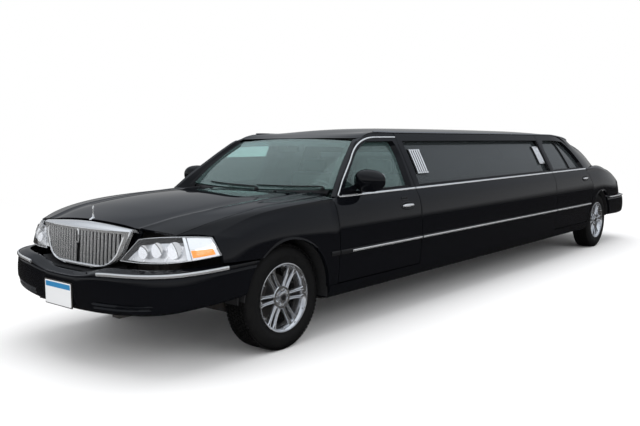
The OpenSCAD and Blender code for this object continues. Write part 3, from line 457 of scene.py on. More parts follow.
def polish_group():
    """Roughness that wanders between two values, and a normal with fine bumps."""
    g, ins, outs = shader_group(
        "uneven_polish",
        [("Scale", "NodeSocketFloat", 20.0), ("Low", "NodeSocketFloat", 0.1),
         ("High", "NodeSocketFloat", 0.2), ("Bump scale", "NodeSocketFloat", 400.0),
         ("Bump", "NodeSocketFloat", 0.1)],
        [("Roughness", "NodeSocketFloat"), ("Mask", "NodeSocketFloat"),
         ("Normal", "NodeSocketVector")])
    n, k = g.nodes, g.links
    co = n.new("ShaderNodeTexCoord")
    big, fine = n.new("ShaderNodeTexNoise"), n.new("ShaderNodeTexNoise")
    settle(big, Detail=4)
    settle(fine, Detail=3)
    ramp, bump = n.new("ShaderNodeMapRange"), n.new("ShaderNodeBump")
    settle(ramp, From_Min=0.3, From_Max=0.7)
    settle(bump, Distance=0.0006)
    wire(k, (co, "Object", big, "Vector"), (co, "Object", fine, "Vector"),
         (ins, "Scale", big, "Scale"), (ins, "Bump scale", fine, "Scale"),
         (big, "Fac", ramp, "Value"), (ins, "Low", ramp, "To Min"), (ins, "High", ramp, "To Max"),
         (fine, "Fac", bump, "Height"), (ins, "Bump", bump, "Strength"),
         (ramp, "Result", outs, "Roughness"), (big, "Fac", outs, "Mask"),
         (bump, "Normal", outs, "Normal"))
    return g


POLISH = polish_group()
print("shader group:", POLISH.name)

# %% [markdown]
# ## Opaque and clear finishes
# Paint is colour under lacquer; glass bends and tints what is behind it. Refracting every ray would
# leave the cabin dark and grainy, so shadow and diffuse rays pass a tinted transparent shader.


# %% Opaque and clear finishes
def finish_material(name, colour, low, high, scale=20.0, bump=0.05, bump_scale=400.0, dusty=None,
        **settings):
    m = bpy.data.materials.new(name)
    m.use_nodes = True
    n, k = m.node_tree.nodes, m.node_tree.links
    p = n["Principled BSDF"]
    settle(p, Base_Color=(*colour, 1), **settings)
    g = n.new("ShaderNodeGroup")
    g.node_tree = POLISH
    settle(g, Scale=scale, Low=low, High=high, Bump=bump, Bump_scale=bump_scale)
    wire(k, (g, "Roughness", p, "Roughness"))
    if bump:
        wire(k, (g, "Normal", p, "Normal"))
    if dusty:
        blend = n.new("ShaderNodeMix")
        blend.data_type = "RGBA"
        settle(blend, A=(*colour, 1), B=(*dusty, 1))
        wire(k, (g, "Mask", blend, "Factor"), (blend, "Result", p, "Base Color"))
    return m


def glass_material(name, tint, pass_tint, low=0.0, high=0.01, milky=0.0, **settings):
    """Clear glass for camera rays; light passes straight through it, tinted."""
    m = finish_material(name, tint, low, high, bump=0, IOR=1.45,
            Transmission_Weight=1 - milky, **settings)
    n, k = m.node_tree.nodes, m.node_tree.links
    path, clear = n.new("ShaderNodeLightPath"), n.new("ShaderNodeBsdfTransparent")
    settle(clear, Color=(*pass_tint, 1))
    either, blend = n.new("ShaderNodeMath"), n.new("ShaderNodeMixShader")
    either.operation = "MAXIMUM"
    wire(k, (path, "Is Shadow Ray", either, 0), (path, "Is Diffuse Ray", either, 1),
         (either, 0, blend, "Fac"), (n["Principled BSDF"], 0, blend, 1), (clear, 0, blend, 2),
         (blend, 0, n["Material Output"], "Surface"))
    return m


print("finishes can be mixed")

# %% [markdown]
# ## The palette
# Black lacquer shows mostly its coat, so its sheen comes from Coat Weight. Chrome and alloy differ
# in roughness; the glass is teal in front and smoked behind.

# %% The palette
PAINT = finish_material("gloss_black_paint", (0.0035, 0.0038, 0.005), 0.3, 0.4, scale=3,
        bump=0.008, bump_scale=900, Coat_Weight=0.62, Coat_Roughness=0.012,
        Specular_IOR_Level=0.0)
CHROME = finish_material("chrome", (0.93, 0.94, 0.95), 0.04, 0.09, scale=8, bump=0.01,
        Metallic=0.8)
ALLOY = finish_material("polished_alloy", (0.8, 0.81, 0.83), 0.08, 0.14, scale=30, bump=0.03,
        Metallic=0.95)
RUBBER = finish_material("tyre_rubber", (0.0035, 0.0035, 0.004), 0.55, 0.75, scale=25, bump=0.35,
        bump_scale=700, dusty=(0.008, 0.0078, 0.0075),
        Specular_IOR_Level=0.2)
SEAL = finish_material("black_seal", (0.006, 0.006, 0.0065), 0.4, 0.6, bump=0.1,
        Specular_IOR_Level=0.3)
PLASTIC = finish_material("black_plastic", (0.009, 0.009, 0.01), 0.32, 0.5, bump=0.2,
        bump_scale=1200, Specular_IOR_Level=0.35)
SATIN = finish_material("roof_trim", (0.32, 0.33, 0.35), 0.18, 0.28, Metallic=1.0)
CLEAR = glass_material("lamp_lens", (0.97, 0.98, 1.0), (0.96, 0.97, 0.98), 0.0, 0.02)
TEAL = glass_material("front_glass", (0.55, 0.74, 0.72), (0.62, 0.78, 0.76), milky=0.06)
SMOKE = glass_material("rear_glass", (0.1, 0.115, 0.12), (0.2, 0.22, 0.22), milky=0.3)
BAND = glass_material("shade_band", (0.1, 0.17, 0.21), (0.15, 0.22, 0.25))
RED = glass_material("red_lens", (0.62, 0.01, 0.012), (0.5, 0.02, 0.02), 0.02, 0.06)
AMBER = finish_material("amber_lens", (0.95, 0.3, 0.02), 0.12, 0.2, bump=0.4, bump_scale=500,
        Coat_Weight=0.6)
FROST = finish_material("frosted_lamp", (0.74, 0.76, 0.78), 0.25, 0.35, bump=0.3,
        bump_scale=300, Coat_Weight=0.5)
MIRROR = finish_material("reflector", (0.93, 0.94, 0.96), 0.03, 0.08, Metallic=0.75)
SILVER = finish_material("lamp_housing", (0.8, 0.81, 0.83), 0.18, 0.3, Metallic=0.55)
WHITE = finish_material("plate_white", (0.72, 0.73, 0.74), 0.3, 0.4)
BLUE = finish_material("plate_blue", (0.02, 0.2, 0.42), 0.3, 0.4)
STEEL = finish_material("painted_frame", (0.03, 0.03, 0.032), 0.5, 0.75, bump=0.3,
        bump_scale=150, dusty=(0.07, 0.062, 0.055), Metallic=0.3)
IRON = finish_material("cast_iron", (0.16, 0.16, 0.165), 0.45, 0.7, bump=0.6, bump_scale=250,
        dusty=(0.11, 0.09, 0.075), Metallic=0.85)
PIPE = finish_material("exhaust_steel", (0.42, 0.4, 0.38), 0.28, 0.5, dusty=(0.3, 0.26, 0.22),
        Metallic=1.0)
LEATHER = finish_material("dark_leather", (0.035, 0.033, 0.033), 0.35, 0.55, bump=0.5,
        bump_scale=260)
CARPET = finish_material("carpet", (0.03, 0.03, 0.033), 0.85, 0.98, bump=1.0, bump_scale=900)
HEADLINER = finish_material("headliner", (0.28, 0.27, 0.26), 0.8, 0.95, bump=0.5,
        bump_scale=800)
WOOD = finish_material("cabinet_wood", (0.12, 0.045, 0.02), 0.2, 0.35, scale=6, bump=0.1,
        dusty=(0.05, 0.018, 0.008), Coat_Weight=0.7)
LINING = finish_material("arch_lining", (0.012, 0.012, 0.013), 0.75, 0.95, bump=0.6,
        bump_scale=180)
print(len(bpy.data.materials), "materials")

# %% [markdown]
# ## Node trees that repeat and follow
# Bars, seals and tread blocks are one small shape many times. Array modifiers copy in rows only.
# These trees turn edges into rods, or stand a block or disc on every point.


# %% Node trees that repeat
def geometry_group(name, sockets_in):
    g = bpy.data.node_groups.new(name, "GeometryNodeTree")
    g.interface.new_socket(name="Geometry", in_out="INPUT", socket_type="NodeSocketGeometry")
    add_inputs(g, sockets_in)
    g.interface.new_socket(name="Geometry", in_out="OUTPUT", socket_type="NodeSocketGeometry")
    return g, g.nodes.new("NodeGroupInput"), g.nodes.new("NodeGroupOutput")


def rods_group():
    g, ins, outs = geometry_group(
        "rods_on_paths",
        [("Radius", "NodeSocketFloat", 0.002), ("Sides", "NodeSocketInt", 10),
         ("Material", "NodeSocketMaterial", None)])
    n, k = g.nodes, g.links
    path, ring = n.new("GeometryNodeMeshToCurve"), n.new("GeometryNodeCurvePrimitiveCircle")
    tube, real = n.new("GeometryNodeCurveToMesh"), n.new("GeometryNodeRealizeInstances")
    paint, soft = n.new("GeometryNodeSetMaterial"), n.new("GeometryNodeSetShadeSmooth")
    settle(tube, Fill_Caps=True)
    wire(k, (ins, "Geometry", path, "Mesh"), (ins, "Sides", ring, "Resolution"),
         (ins, "Radius", ring, "Radius"), (path, "Curve", tube, "Curve"),
         (ring, "Curve", tube, "Profile Curve"), (tube, "Mesh", soft, "Geometry"),
         (soft, "Geometry", real, "Geometry"), (real, "Geometry", paint, "Geometry"),
         (ins, "Material", paint, "Material"), (paint, "Geometry", outs, "Geometry"))
    return g


def copies_group():
    g, ins, outs = geometry_group(
        "copies_on_points",
        [("Size", "NodeSocketVector", None),
         ("Radius", "NodeSocketFloat", 0.004), ("Height", "NodeSocketFloat", 0.004),
         ("Round", "NodeSocketBool", False), ("Material", "NodeSocketMaterial", None)])
    n, k = g.nodes, g.links
    block, disc = n.new("GeometryNodeMeshCube"), n.new("GeometryNodeMeshCylinder")
    which, place = n.new("GeometryNodeSwitch"), n.new("GeometryNodeInstanceOnPoints")
    turn, real = n.new("GeometryNodeInputNamedAttribute"), n.new("GeometryNodeRealizeInstances")
    paint = n.new("GeometryNodeSetMaterial")
    which.input_type = "GEOMETRY"
    turn.data_type = "FLOAT_VECTOR"
    settle(turn, Name="turn")
    settle(disc, Vertices=16)
    wire(k, (ins, "Size", block, "Size"), (ins, "Radius", disc, "Radius"),
         (ins, "Height", disc, "Depth"), (ins, "Round", which, "Switch"),
         (block, "Mesh", which, "False"), (disc, "Mesh", which, "True"),
         (ins, "Geometry", place, "Points"), (which, "Output", place, "Instance"),
         (turn, "Attribute", place, "Rotation"), (place, "Instances", real, "Geometry"),
         (real, "Geometry", paint, "Geometry"), (ins, "Material", paint, "Material"),
         (paint, "Geometry", outs, "Geometry"))
    return g


RODS, COPIES = rods_group(), copies_group()
print("node groups:", len(bpy.data.node_groups))

# %% [markdown]
# ## Running the trees
# A tree could stay live, but moving bodies need plain meshes, so each is run once and copied.


# %% Running the trees
def grown(name, mesh, group, values):
    """Runs a node group on a mesh and returns the plain mesh that comes out."""
    obj = bpy.data.objects.new(name + "_seed", mesh)
    bpy.context.scene.collection.objects.link(obj)
    m = obj.modifiers.new("nodes", "NODES")
    m.node_group = group
    for item in group.interface.items_tree:
        if item.item_type == "SOCKET" and item.in_out == "INPUT" and item.name in values:
            m[item.identifier] = values[item.name]
    dg = bpy.context.evaluated_depsgraph_get()
    made = bpy.data.meshes.new_from_object(obj.evaluated_get(dg), depsgraph=dg)
    bpy.data.objects.remove(obj)
    made.name = name
    return made


def rods(name, paths, radius, body, material, sides=10):
    """Rods along open paths of points."""
    verts, edges = [], []
    for p in paths:
        edges += [(len(verts) + k, len(verts) + k + 1) for k in range(len(p) - 1)]
        verts += [list(np.asarray(q, float) / 1000) for q in p]
    seed = bpy.data.meshes.new(name + "_paths")
    seed.from_pydata(verts, edges, [])
    mesh = grown(name, seed, RODS, {"Radius": radius / 1000, "Sides": sides,
            "Material": material})
    mesh.set_sharp_from_angle(angle=math.radians(50))
    placed(name, mesh, body, material)


def copies(name, points, turns, size, body, material, disc=None, width=None):
    """Blocks of one size, or discs of (radius, height), on points turned by Euler angles."""
    seed = bpy.data.meshes.new(name + "_points")
    seed.from_pydata([list(np.asarray(q, float) / 1000) for q in points], [], [])
    seed.attributes.new("turn", "FLOAT_VECTOR", "POINT").data.foreach_set(
        "vector", np.asarray(turns, np.float32).ravel())
    values = {"Material": material, "Round": bool(disc), "Size": [s / 1000 for s in size]}
    if disc:
        values.update(Radius=disc[0] / 1000, Height=disc[1] / 1000)
    obj = placed(name, grown(name, seed, COPIES, values), body, material)
    if width:
        bevel(obj, width)


print("node groups:", RODS.name, COPIES.name)

# %% [markdown]
# ## Doors
# A real door is an outer skin folded round an inner one, with a window hole. Insetting a plane would
# do for one; a function makes all four, leaves the window open in the grid and draws the rim in
# a little so that the shut lines catch the light.

# %% Door skins and glass
ROWS = [0, 0.14, 0.32, 0.48, 0.6, 0.7, 0.78, 0.86, 0.93, 1, 1.06, 1.28, 1.55, 1.74, 1.86, 2]
FINE_ROWS = refine(ROWS, 4)
F_FRONT, F_REAR = 0.07, 0.042
WINDOW_LOW, WINDOW_HIGH = 1.06, 1.86
EDGE_ROLL, HEAD_LIP = 1.6, 36


def side_grid(front, rear, rows, shares, low, inward):
    return [[on_side(mix(front(w), rear(w), s), w, low, inward(w) if callable(inward) else inward)
             for s in shares] for w in rows]


def in_window(rows, shares, left, right):
    """Tells for each square of a side grid whether it lies in the window."""
    return lambda i, j: (WINDOW_LOW - 1e-6 <= rows[i] and rows[i + 1] <= WINDOW_HIGH + 1e-6
            and left - 1e-6 <= shares[j] and shares[j + 1] <= right + 1e-6)


def bent(s, w, left, right):
    """A share along a door's window, with the window's upper corners rounded."""
    rise = limit((w - 1.5) / 0.36) ** 3
    a, b = left + 0.13 * rise, right - 0.07 * rise
    if s <= left:
        return s * a / left
    if s < right:
        return mix(a, b, (s - left) / (right - left))
    return 1 - (1 - s) * (1 - b) / (1 - right)


def door_shell(front, rear):
    shares = (refine([0, 0.012, F_FRONT], 2)[:-1] + spread(F_FRONT, 1 - F_REAR, 26)[:-1]
              + refine([1 - F_REAR, 0.99, 1], 2))
    rows = FINE_ROWS
    outer, inner = [], []
    for w in rows:
        row, at = [], [bent(s, w, F_FRONT, 1 - F_REAR) for s in shares]
        outer.append([on_side(mix(front(w), rear(w), s), w, DOOR_LOW) for s in at])
        for s in at:
            p = on_side(mix(front(w) - 8, rear(w) + LEAN, s), w, DOOR_LOW, wall_at(w))
            row.append(p + [0, 0, 6 if w == 0 else -HEAD_LIP if w == 2 else 0])
        inner.append(row)
    # the rim of the panel turns in softly, so that the shut lines catch the light
    outer = np.array(outer)
    for rim in (outer[0], outer[:, 0], outer[:, -1]):
        rim[:, 1] -= EDGE_ROLL
    return shell(outer, inner, in_window(rows, shares, F_FRONT, 1 - F_REAR))


def pane_shell(front, rear, left, right, inward=FRAME + 0.5, thick=5):
    rows, shares = spread(1.03, WINDOW_HIGH, 16), spread(left, right, 16)
    return shell(side_grid(front, rear, rows, shares, DOOR_LOW, inward),
                 side_grid(front, rear, rows, shares, DOOR_LOW, inward + thick))


DOORS = (("front", front_door_front, front_door_rear, TEAL),
         ("rear", rear_door_front, rear_door_rear, SMOKE))
for name, front, rear, _ in DOORS:
    both(f"{name}_door_skin", door_shell(front, rear), f"{name}_door_SIDE", PAINT,
         replaces=(f"{name}_door_SIDE",))
for name, front, rear, glass in DOORS:
    both(f"{name}_door_pane", pane_shell(front, rear, F_FRONT - 0.015, 1 - F_REAR + 0.012),
         f"{name}_door_SIDE", glass, replaces=(f"{name}_glass_SIDE",))
print("four doors, four panes")

# %% [markdown]
# ## Long side walls
# Between the doors lie one long panel and one long window. A flat board would be simpler, but on the
# doors' surface and rows the highlights run on without a step.


# %% Long side walls
def wall_front(w):
    return front_door_rear(w) - GAP


def wall_rear(w):
    return rear_door_front(w) + GAP


WALL_LONG = front_door_rear(0) - rear_door_front(0)
W_FRONT, W_REAR = 75 / WALL_LONG, 1 - 14 / WALL_LONG


def wall_shell():
    shares = ([0, 0.0015] + refine([0.005, W_FRONT], 3)[:-1] + spread(W_FRONT, W_REAR, 44)[:-1]
              + [W_REAR, 0.9985, 1])
    rows = FINE_ROWS
    outer = np.array(side_grid(wall_front, wall_rear, rows, shares, ROCKER_TOP, 0))
    for rim in (outer[:, 0], outer[:, -1]):
        rim[:, 1] -= EDGE_ROLL
    inner = np.array(side_grid(wall_front, wall_rear, rows, shares, ROCKER_TOP, wall_at))
    inner[-1, :, 2] -= HEAD_LIP
    return shell(outer, inner, in_window(rows, shares, W_FRONT, W_REAR))


both("side_wall_skin", wall_shell(), "body", PAINT, replaces=("side_panels",))
both("side_wall_pane", pane_shell(wall_front, wall_rear, 60 / WALL_LONG, 1 - 8 / WALL_LONG),
     "body", SMOKE, replaces=("side_windows",))
print("wall length:", round(WALL_LONG), "mm")

# %% [markdown]
# ## Rockers and arch liners
# A rocker is a rolled box under the doors, so a section is carried along it. A black liner behind
# each arch hides the hollow fender; a loft of rings bends it without a modifier.


# %% Rockers and arch liners
def rocker_part():
    rear, front, top = ra(ARCH + 12), fa(-ARCH - 12), HALF - 26
    outline = [(top, ROCKER_TOP), (top - 1, ROCKER_TOP - 6), (top - 6, ROCKER_TOP - 34),
               (top - 9, ROCKER_TOP - 40), (top - 20, ROCKER_TOP - 60), (HALF - 56, 296),
               (HALF - 60, ROCKER_LOW + 3), (HALF - 66, ROCKER_LOW), (HALF - 190, ROCKER_LOW),
               (HALF - 190, ROCKER_TOP)]
    return loft([[(x, y, z) for y, z in outline] for x in spread(rear, front, 24)])


both("rocker", rocker_part(), "body", PAINT, replaces=("rocker_panels",))


def arch_liner(axle, first, last):
    """A black ring behind the edge of a wheel arch."""
    rings = []
    for t in spread(math.radians(first), math.radians(last), 60):
        rings.append([(axle + r * math.cos(t), y, AXLE_Z + r * math.sin(t))
                      for r, y in ((ARCH + 3, 805), (ARCH + 3, 942), (ARCH + 9, 942),
                                   (ARCH + 9, 805))])
    return loft(rings)


for end, axle, first, last in (("front", FX, 6, 188), ("rear", RX, -8, 174)):
    both(f"arch_liner_{end}", arch_liner(axle, first, last), "body", LINING)
print("rockers and arch liners")

# %% [markdown]
# ## Lines of the nose and tail
# Hood, fenders and quarter panels are stretched between lines such as the shut line, the crease and
# the shoulder. They could be sculpted, but lines shared by two panels make them meet.

# %% Lines of the nose and tail
SHUT = [(-640, 745, 1003), (-400, 785, 991), (-100, 816, 978), (200, 838, 959), (430, 843, 930),
        (620, 818, 890), (768, 766, 842)]
MIDDLE = [(-505, 0, 1018), (-250, 0, 1022), (0, 0, 1014), (250, 0, 995), (500, 0, 963),
          (700, 0, 926), (852, 0, 896)]
CREASE = [(-600, 630, 1009), (-330, 648, 1001), (-50, 650, 988), (210, 640, 969),
          (440, 618, 946), (640, 575, 917), (840, 512, 868)]
SHOULDER = [(-494, 918, 984), (-250, 918, 972), (0, 916, 958), (250, 910, 930),
            (430, 900, 885), (586, 882, 828)]
NOSE = [(586, 882, 828), (574, 910, 765), (560, 929, 706), (556, 935, 664)]
LAMP_TOP = [(868, 530, 806), (850, 622, 820), (800, 730, 829), (708, 818, 829),
            (594, 876, 819)]
LAMP_LOW = [(930, 427, 676), (902, 612, 676), (834, 784, 685), (712, 884, 700),
            (564, 923, 713)]
DECK = [(429, 916, 1040), (150, 872, 1052), (-150, 800, 1060), (-505, 703, 1052),
        (-700, 700, 1028), (-950, 694, 993), (-1130, 684, 950), (-1215, 672, 905)]
REAR_SHOULDER = [(429, 919, 1036), (150, 914, 1036), (-150, 908, 1022), (-440, 898, 970),
                 (-700, 884, 905), (-950, 860, 850), (-1130, 828, 800), (-1215, 806, 765)]
REAR_TAIL = [(-1215, 806, 765), (-1220, 810, 730), (-1223, 814, 695), (-1224, 816, 662)]


def along(points, t, where):
    """A place on one of these lines; where turns its first number into a length."""
    p = line_at(points, t)
    p[0] = where(p[0])
    return p


print("ten lines")

# %% [markdown]
# ## Hood
# A wide pressed sheet with a crease on each side. Loop cuts could follow the crease; a narrow bump
# in the formula presses it, and the grid is finer there.


# %% Hood
def hood_point(t, u):
    v = abs(u)
    c, k, s = along(MIDDLE, t, fa), along(CREASE, t, fa), along(SHUT, t, fa) - [0, 3, 0]
    if v <= 0.7:
        f = v / 0.7
        p = np.array([mix(c[0], k[0], f * f), mix(c[1], k[1], f), mix(c[2], k[2], f ** 1.8)])
        # the panel rises a little to the crease and dips beside it
        p[2] += 2 * math.exp(-((f - 1) / 0.035) ** 2) - 5 * math.exp(-((f - 0.9) / 0.07) ** 2)
    else:
        g = (v - 0.7) / 0.3
        p = mix(k, s, g) + [0, 0, 10 * g * (1 - g) + 5 * math.exp(-(g / 0.12) ** 2)]
    return p * [1, -1 if u < 0 else 1, 1]


def hood_shell():
    steps = spread(0, 1, 40)
    half = [0, 0.12, 0.25, 0.38, 0.5, 0.58, 0.63, 0.66, 0.68, 0.69, 0.7, 0.71, 0.725, 0.745,
            0.77, 0.82, 0.88, 0.94, 0.98, 1]
    us = [-u for u in half[:0:-1]] + half
    outer = np.array([[hood_point(t, u) for u in us] for t in steps])
    outer[:, 0, 2] -= 2
    outer[:, -1, 2] -= 2
    inner = [[hood_point(mix(0.025, 0.985, t), u * 0.975) - [0, 0, 24] for u in us]
             for t in steps]
    return shell(outer, inner)


piece("hood_skin", *hood_shell(), "hood", PAINT, replaces=("hood",))
print("hood on its hinge")

# %% [markdown]
# ## Front fenders
# A Boolean cylinder could cut the arch, but its faces would smear the reflections. So every ray of
# the grid starts on the arch circle, with its rolled lip, and ends on the outline.


# %% Front fenders
def arch_point(axle, angle):
    x, z = axle + ARCH * math.cos(angle), AXLE_Z + ARCH * math.sin(angle)
    return np.array([x, side_y(x, z), z])


def arch_lip(r):
    """How far the rolled lip round a wheel arch stands out, r away from its edge."""
    return 2 * math.exp(-(r / 0.035) ** 2)


A_LOW = math.asin((ROCKER_TOP - AXLE_Z) / ARCH)
A_HIGH = math.asin((660 - AXLE_Z) / ARCH)
FROM_ARCH = [0, 0.012, 0.03, 0.06, 0.1, 0.15] + spread(0.2, 1, 24)
PANEL = 28


def fender_outline(t):
    if t < 0.3:
        x, z = fa(-DOOR_START) + GAP, mix(ROCKER_TOP, 984, t / 0.3)
        return np.array([x, side_y(x, z), z])
    if t < 0.82:
        return along(SHOULDER, (t - 0.3) / 0.52, fa)
    return along(NOSE, (t - 0.82) / 0.18, fa)


def fender_point(r, t):
    a = arch_point(FX, mix(math.pi - A_LOW, A_HIGH, t))
    o = fender_outline(t)
    x, z = mix(a[0], o[0], r), mix(a[2], o[2], r)
    y = mix(side_y(x, z), o[1], r ** 4)
    return np.array([x, y + arch_lip(r), z])


def fender_top(r, t):
    u = limit((t - 0.3) / 0.52)
    o, s = fender_outline(t), along(SHUT, mix(0.02, 1, u), fa) + [0, 3, -1]
    p = mix(o, s, r)
    back = mix(r ** 4, r, limit(6 * u))
    return np.array([mix(o[0], s[0], back), p[1], p[2] + 26 * r * (1 - r)])


def fender_parts():
    ts = spread(0, 0.3, 16)[:-1] + spread(0.3, 0.82, 44)[:-1] + spread(0.82, 1, 8)
    side = np.array([[fender_point(r, t) for t in ts] for r in FROM_ARCH])
    tt = [t for t in ts if 0.3 - 1e-9 <= t <= 0.82 + 1e-9]
    rr = spread(0, 1, 14)
    top = np.array([[fender_top(r, t) for t in tt] for r in rr])
    skin = np.array([mix(24, 9, limit((t - 0.3) / 0.52)) for t in tt])
    top_in = top.copy()
    top_in[..., 2] -= skin
    top_in[:-1, :, 1] -= 8
    top[-1, :, 2] -= 1.5
    return merged(shell(side, side - [0, PANEL, 0]), shell(top, top_in))


both("front_fender_skin", fender_parts(), "body", PAINT, replaces=("front_fenders",))
print("front fenders")

# %% [markdown]
# ## Quarter panels
# The rear fender and the deck beside the trunk are one panel. As two patches that share an edge they
# are easier to shape than one mesh round the corner.


# %% Quarter panels
def quarter_outline(t):
    if t < 0.36:
        w = t / 0.36
        return on_side(rear_door_rear(w) - outline_gap(w), w, ROCKER_TOP)
    if t < 0.84:
        return along(REAR_SHOULDER, (t - 0.36) / 0.48, ra)
    return along(REAR_TAIL, (t - 0.84) / 0.16, ra)


def quarter_parts():
    ts = spread(0, 0.36, 24)[:-1] + spread(0.36, 0.84, 40)[:-1] + spread(0.84, 1, 8)
    side = []
    for r in FROM_ARCH:
        row = []
        for t in ts:
            a = arch_point(RX, mix(A_LOW, math.pi - A_HIGH, t))
            o = quarter_outline(t)
            x, z = mix(a[0], o[0], r), mix(a[2], o[2], r)
            y = mix(side_y(x, z), o[1], r ** 4)
            row.append((x, y + arch_lip(r), z))
        side.append(row)
    side = np.array(side)
    tt = [t for t in ts if 0.36 - 1e-9 <= t <= 0.84 + 1e-9]
    top = []
    for r in spread(0, 1, 16):
        row = []
        for t in tt:
            o, s = quarter_outline(t), along(DECK, (t - 0.36) / 0.48, ra)
            row.append(mix(o, s, r) + [0, 0, 0.62 * (o[1] - s[1]) * r * (1 - r)])
        top.append(row)
    top = np.array(top)
    top_in = top - [0, 0, 26]
    top_in[:-1, :, 1] -= 8
    return merged(shell(side, side - [0, PANEL, 0]), shell(top, top_in))


both("quarter_skin", quarter_parts(), "body", PAINT, replaces=("quarter_panels",))
print("quarter panels")

# %% [markdown]
# ## Trunk lid
# The lid rolls over from the deck to the upright tail. A plane bent by a curve would work; a table
# of nine places down its middle keeps the hinge edge exact.

# %% Trunk lid
LID = [(-574, 1064, 14, 692), (-800, 1068, 42, 690), (-980, 1060, 68, 684),
       (-1120, 1044, 94, 674), (-1210, 1014, 110, 662), (-1252, 955, 66, 656),
       (-1276, 880, 22, 652), (-1290, 790, 5, 648), (-1296, 700, 0, 646)]


def lid_shell():
    us = [-1, -0.985] + spread(-0.95, 0.95, 30) + [0.985, 1]
    steps = spread(0, 8, 48)
    outer, inner = [], []
    for s in steps:
        def at(k):
            return curve([(i, p[k]) for i, p in enumerate(LID)], s)
        bend = mix(58, 0, limit(s)) + 34 * limit((s - 3.2) / 0.8)
        tilt = limit((s - 2.5) / 2.5)
        turn = np.array([24 * tilt, 0, -24 * (1 - tilt)])
        row, row_in = [], []
        for u in us:
            for k, line in ((1, row), (0.985, row_in)):
                q = u * k
                line.append(np.array([ra(at(0) + bend * q * q), q * at(3),
                        at(1) - at(2) * abs(q) ** 3]))
            row_in[-1] = row_in[-1] + turn + [-8 * (s == 0), 0, 6 * (s == 8)]
        outer.append(row)
        inner.append(row_in)
    return shell(outer, inner)


piece("trunk_lid_skin", *lid_shell(), "trunk_lid", PAINT, replaces=("trunk_lid",))
print("trunk lid")

# %% [markdown]
# ## Bumpers
# A moulded cover with grooves and a dip for the grille. A sweep would keep one section all round;
# this surface changes its seven heights on the way, and bell curves press the grooves.

# %% Bumpers
FRONT_PLAN = [(1, 0), (0.996, 210), (0.984, 400), (0.952, 590), (0.893, 760), (0.79, 880),
              (0.65, 935), (0.5, 956), (0.375, 964)]
FRONT_ROWS = [(62, 350, 440), (14, 384, 458), (0, 446, 505), (0, 520, 560), (6, 582, 615),
              (12, 616, 648), (60, 640, 657)]
REAR_PLAN = [(1, 0), (0.996, 210), (0.988, 400), (0.97, 590), (0.935, 760), (0.86, 884),
             (0.74, 936), (0.55, 962), (0.36, 968)]
REAR_ROWS = [(55, 330, 400), (14, 365, 420), (0, 430, 480), (0, 520, 560), (8, 596, 612),
             (14, 625, 645), (70, 655, 655)]


def plan_at(plan, reach, v):
    p = [(a * reach, b, 0) for a, b in plan]
    q = line_at(p, v)
    d = line_at(p, limit(v + 0.02)) - line_at(p, limit(v - 0.02))
    return q, unit(d)


def bumper_point(end, at, u, s, inward=0.0):
    plan, rows, reach, axle, way, shape = end
    q, d = at
    v = abs(u)
    side = (v - 0.7) / 0.3 if v > 0.7 else 0
    row = [curve([(i, r[k]) for i, r in enumerate(rows)], s) for k in range(3)]
    z = mix(row[1], row[2], v ** 1.5)
    dent, drop = shape(v, s, q[1], z)
    back = row[0] * (1 - 0.6 * side) + inward + dent
    z -= drop
    # the ends reach back to the edge of the wheel arch
    arch = math.sqrt(max(ARCH ** 2 - (z - AXLE_Z) ** 2, 1)) + 2
    x, y = q[0] - d[1] * back, q[1] + d[0] * back
    x += (max(arch, x - 400) - reach * plan[-1][0]) * side ** 2
    return np.array([axle + way * x, -y if u < 0 else y, z])


def bump(x, centre, wide):
    return math.exp(-(((x - centre) / wide) ** 2))


def front_shape(v, s, y, z):
    """Press depth and drop: two slots low down, a raised middle and a dip under the grille."""
    ends = limit((y - 300) / 50) * limit((800 - y) / 60)
    slots = 12 * ends * (bump(z, 398 + 90 * v ** 1.5, 8) + bump(z, 424 + 78 * v ** 1.5, 8))
    plate = 5 * limit((y - 190) / 12) * limit(s)
    dip = 50 * math.exp(-((y / 330) ** 4)) * limit((s - 3.3) / 2) * (s <= 6.5)
    return slots + plate + 4 * bump(s, 4.15, 0.12), dip


def rear_shape(v, s, y, z):
    plate = 10 * limit((230 - y) / 20) * limit((s - 1) / 0.3) * limit((5 - s) / 0.4)
    return plate + 4 * bump(s, 4.15, 0.12), 0


def bumper_part(end):
    us, steps = spread(-1, 1, 150), spread(0, 6, 60)
    ats = {u: plan_at(end[0], end[2], abs(u)) for u in us}
    return shell(*[[[bumper_point(end, ats[u], u, s, inward) for u in us] for s in steps]
                   for inward in (0, 26)])


FRONT_END = (FRONT_PLAN, FRONT_ROWS, FRONT - 6.4, FX, 1, front_shape)
REAR_END = (REAR_PLAN, REAR_ROWS, REAR - 6.4, RX, -1, rear_shape)
piece("front_bumper_skin", *bumper_part(FRONT_END), "body", PAINT, replaces=("front_bumper",))
piece("rear_bumper_skin", *bumper_part(REAR_END), "body", PAINT, replaces=("rear_bumper",))
print("two bumper covers")

# %% [markdown]
# ## Bumper trim and plates
# The strips are swept along points of the bumper's own surface. The vent mesh is rods, because a
# bump map would look flat from the side. The plates are blank.

# %% Bumper trim and plates
# the shelf behind the front bumper's top edge, with its mesh vent
v, f = loft([[(fa(1034 - 62 * (abs(y) / 400) ** 2), y, 589 + 50 * (abs(y) / 400) ** 4),
              (fa(876), y, 594 + 44 * (abs(y) / 400) ** 4), (fa(876), y, 585),
              (fa(1030 - 62 * (abs(y) / 400) ** 2), y, 580 + 50 * (abs(y) / 400) ** 4)]
             for y in spread(-400, 400, 40)])
piece("bumper_shelf", v, f, "body", PLASTIC)
rods("vent_mesh", [[(fa(x), -190, 596), (fa(x), 190, 596)] for x in spread(955, 1012, 6)]
     + [[(fa(950), y, 597), (fa(1016), y, 597)] for y in spread(-190, 190, 24)], 2.2, "body",
     PLASTIC, sides=6)


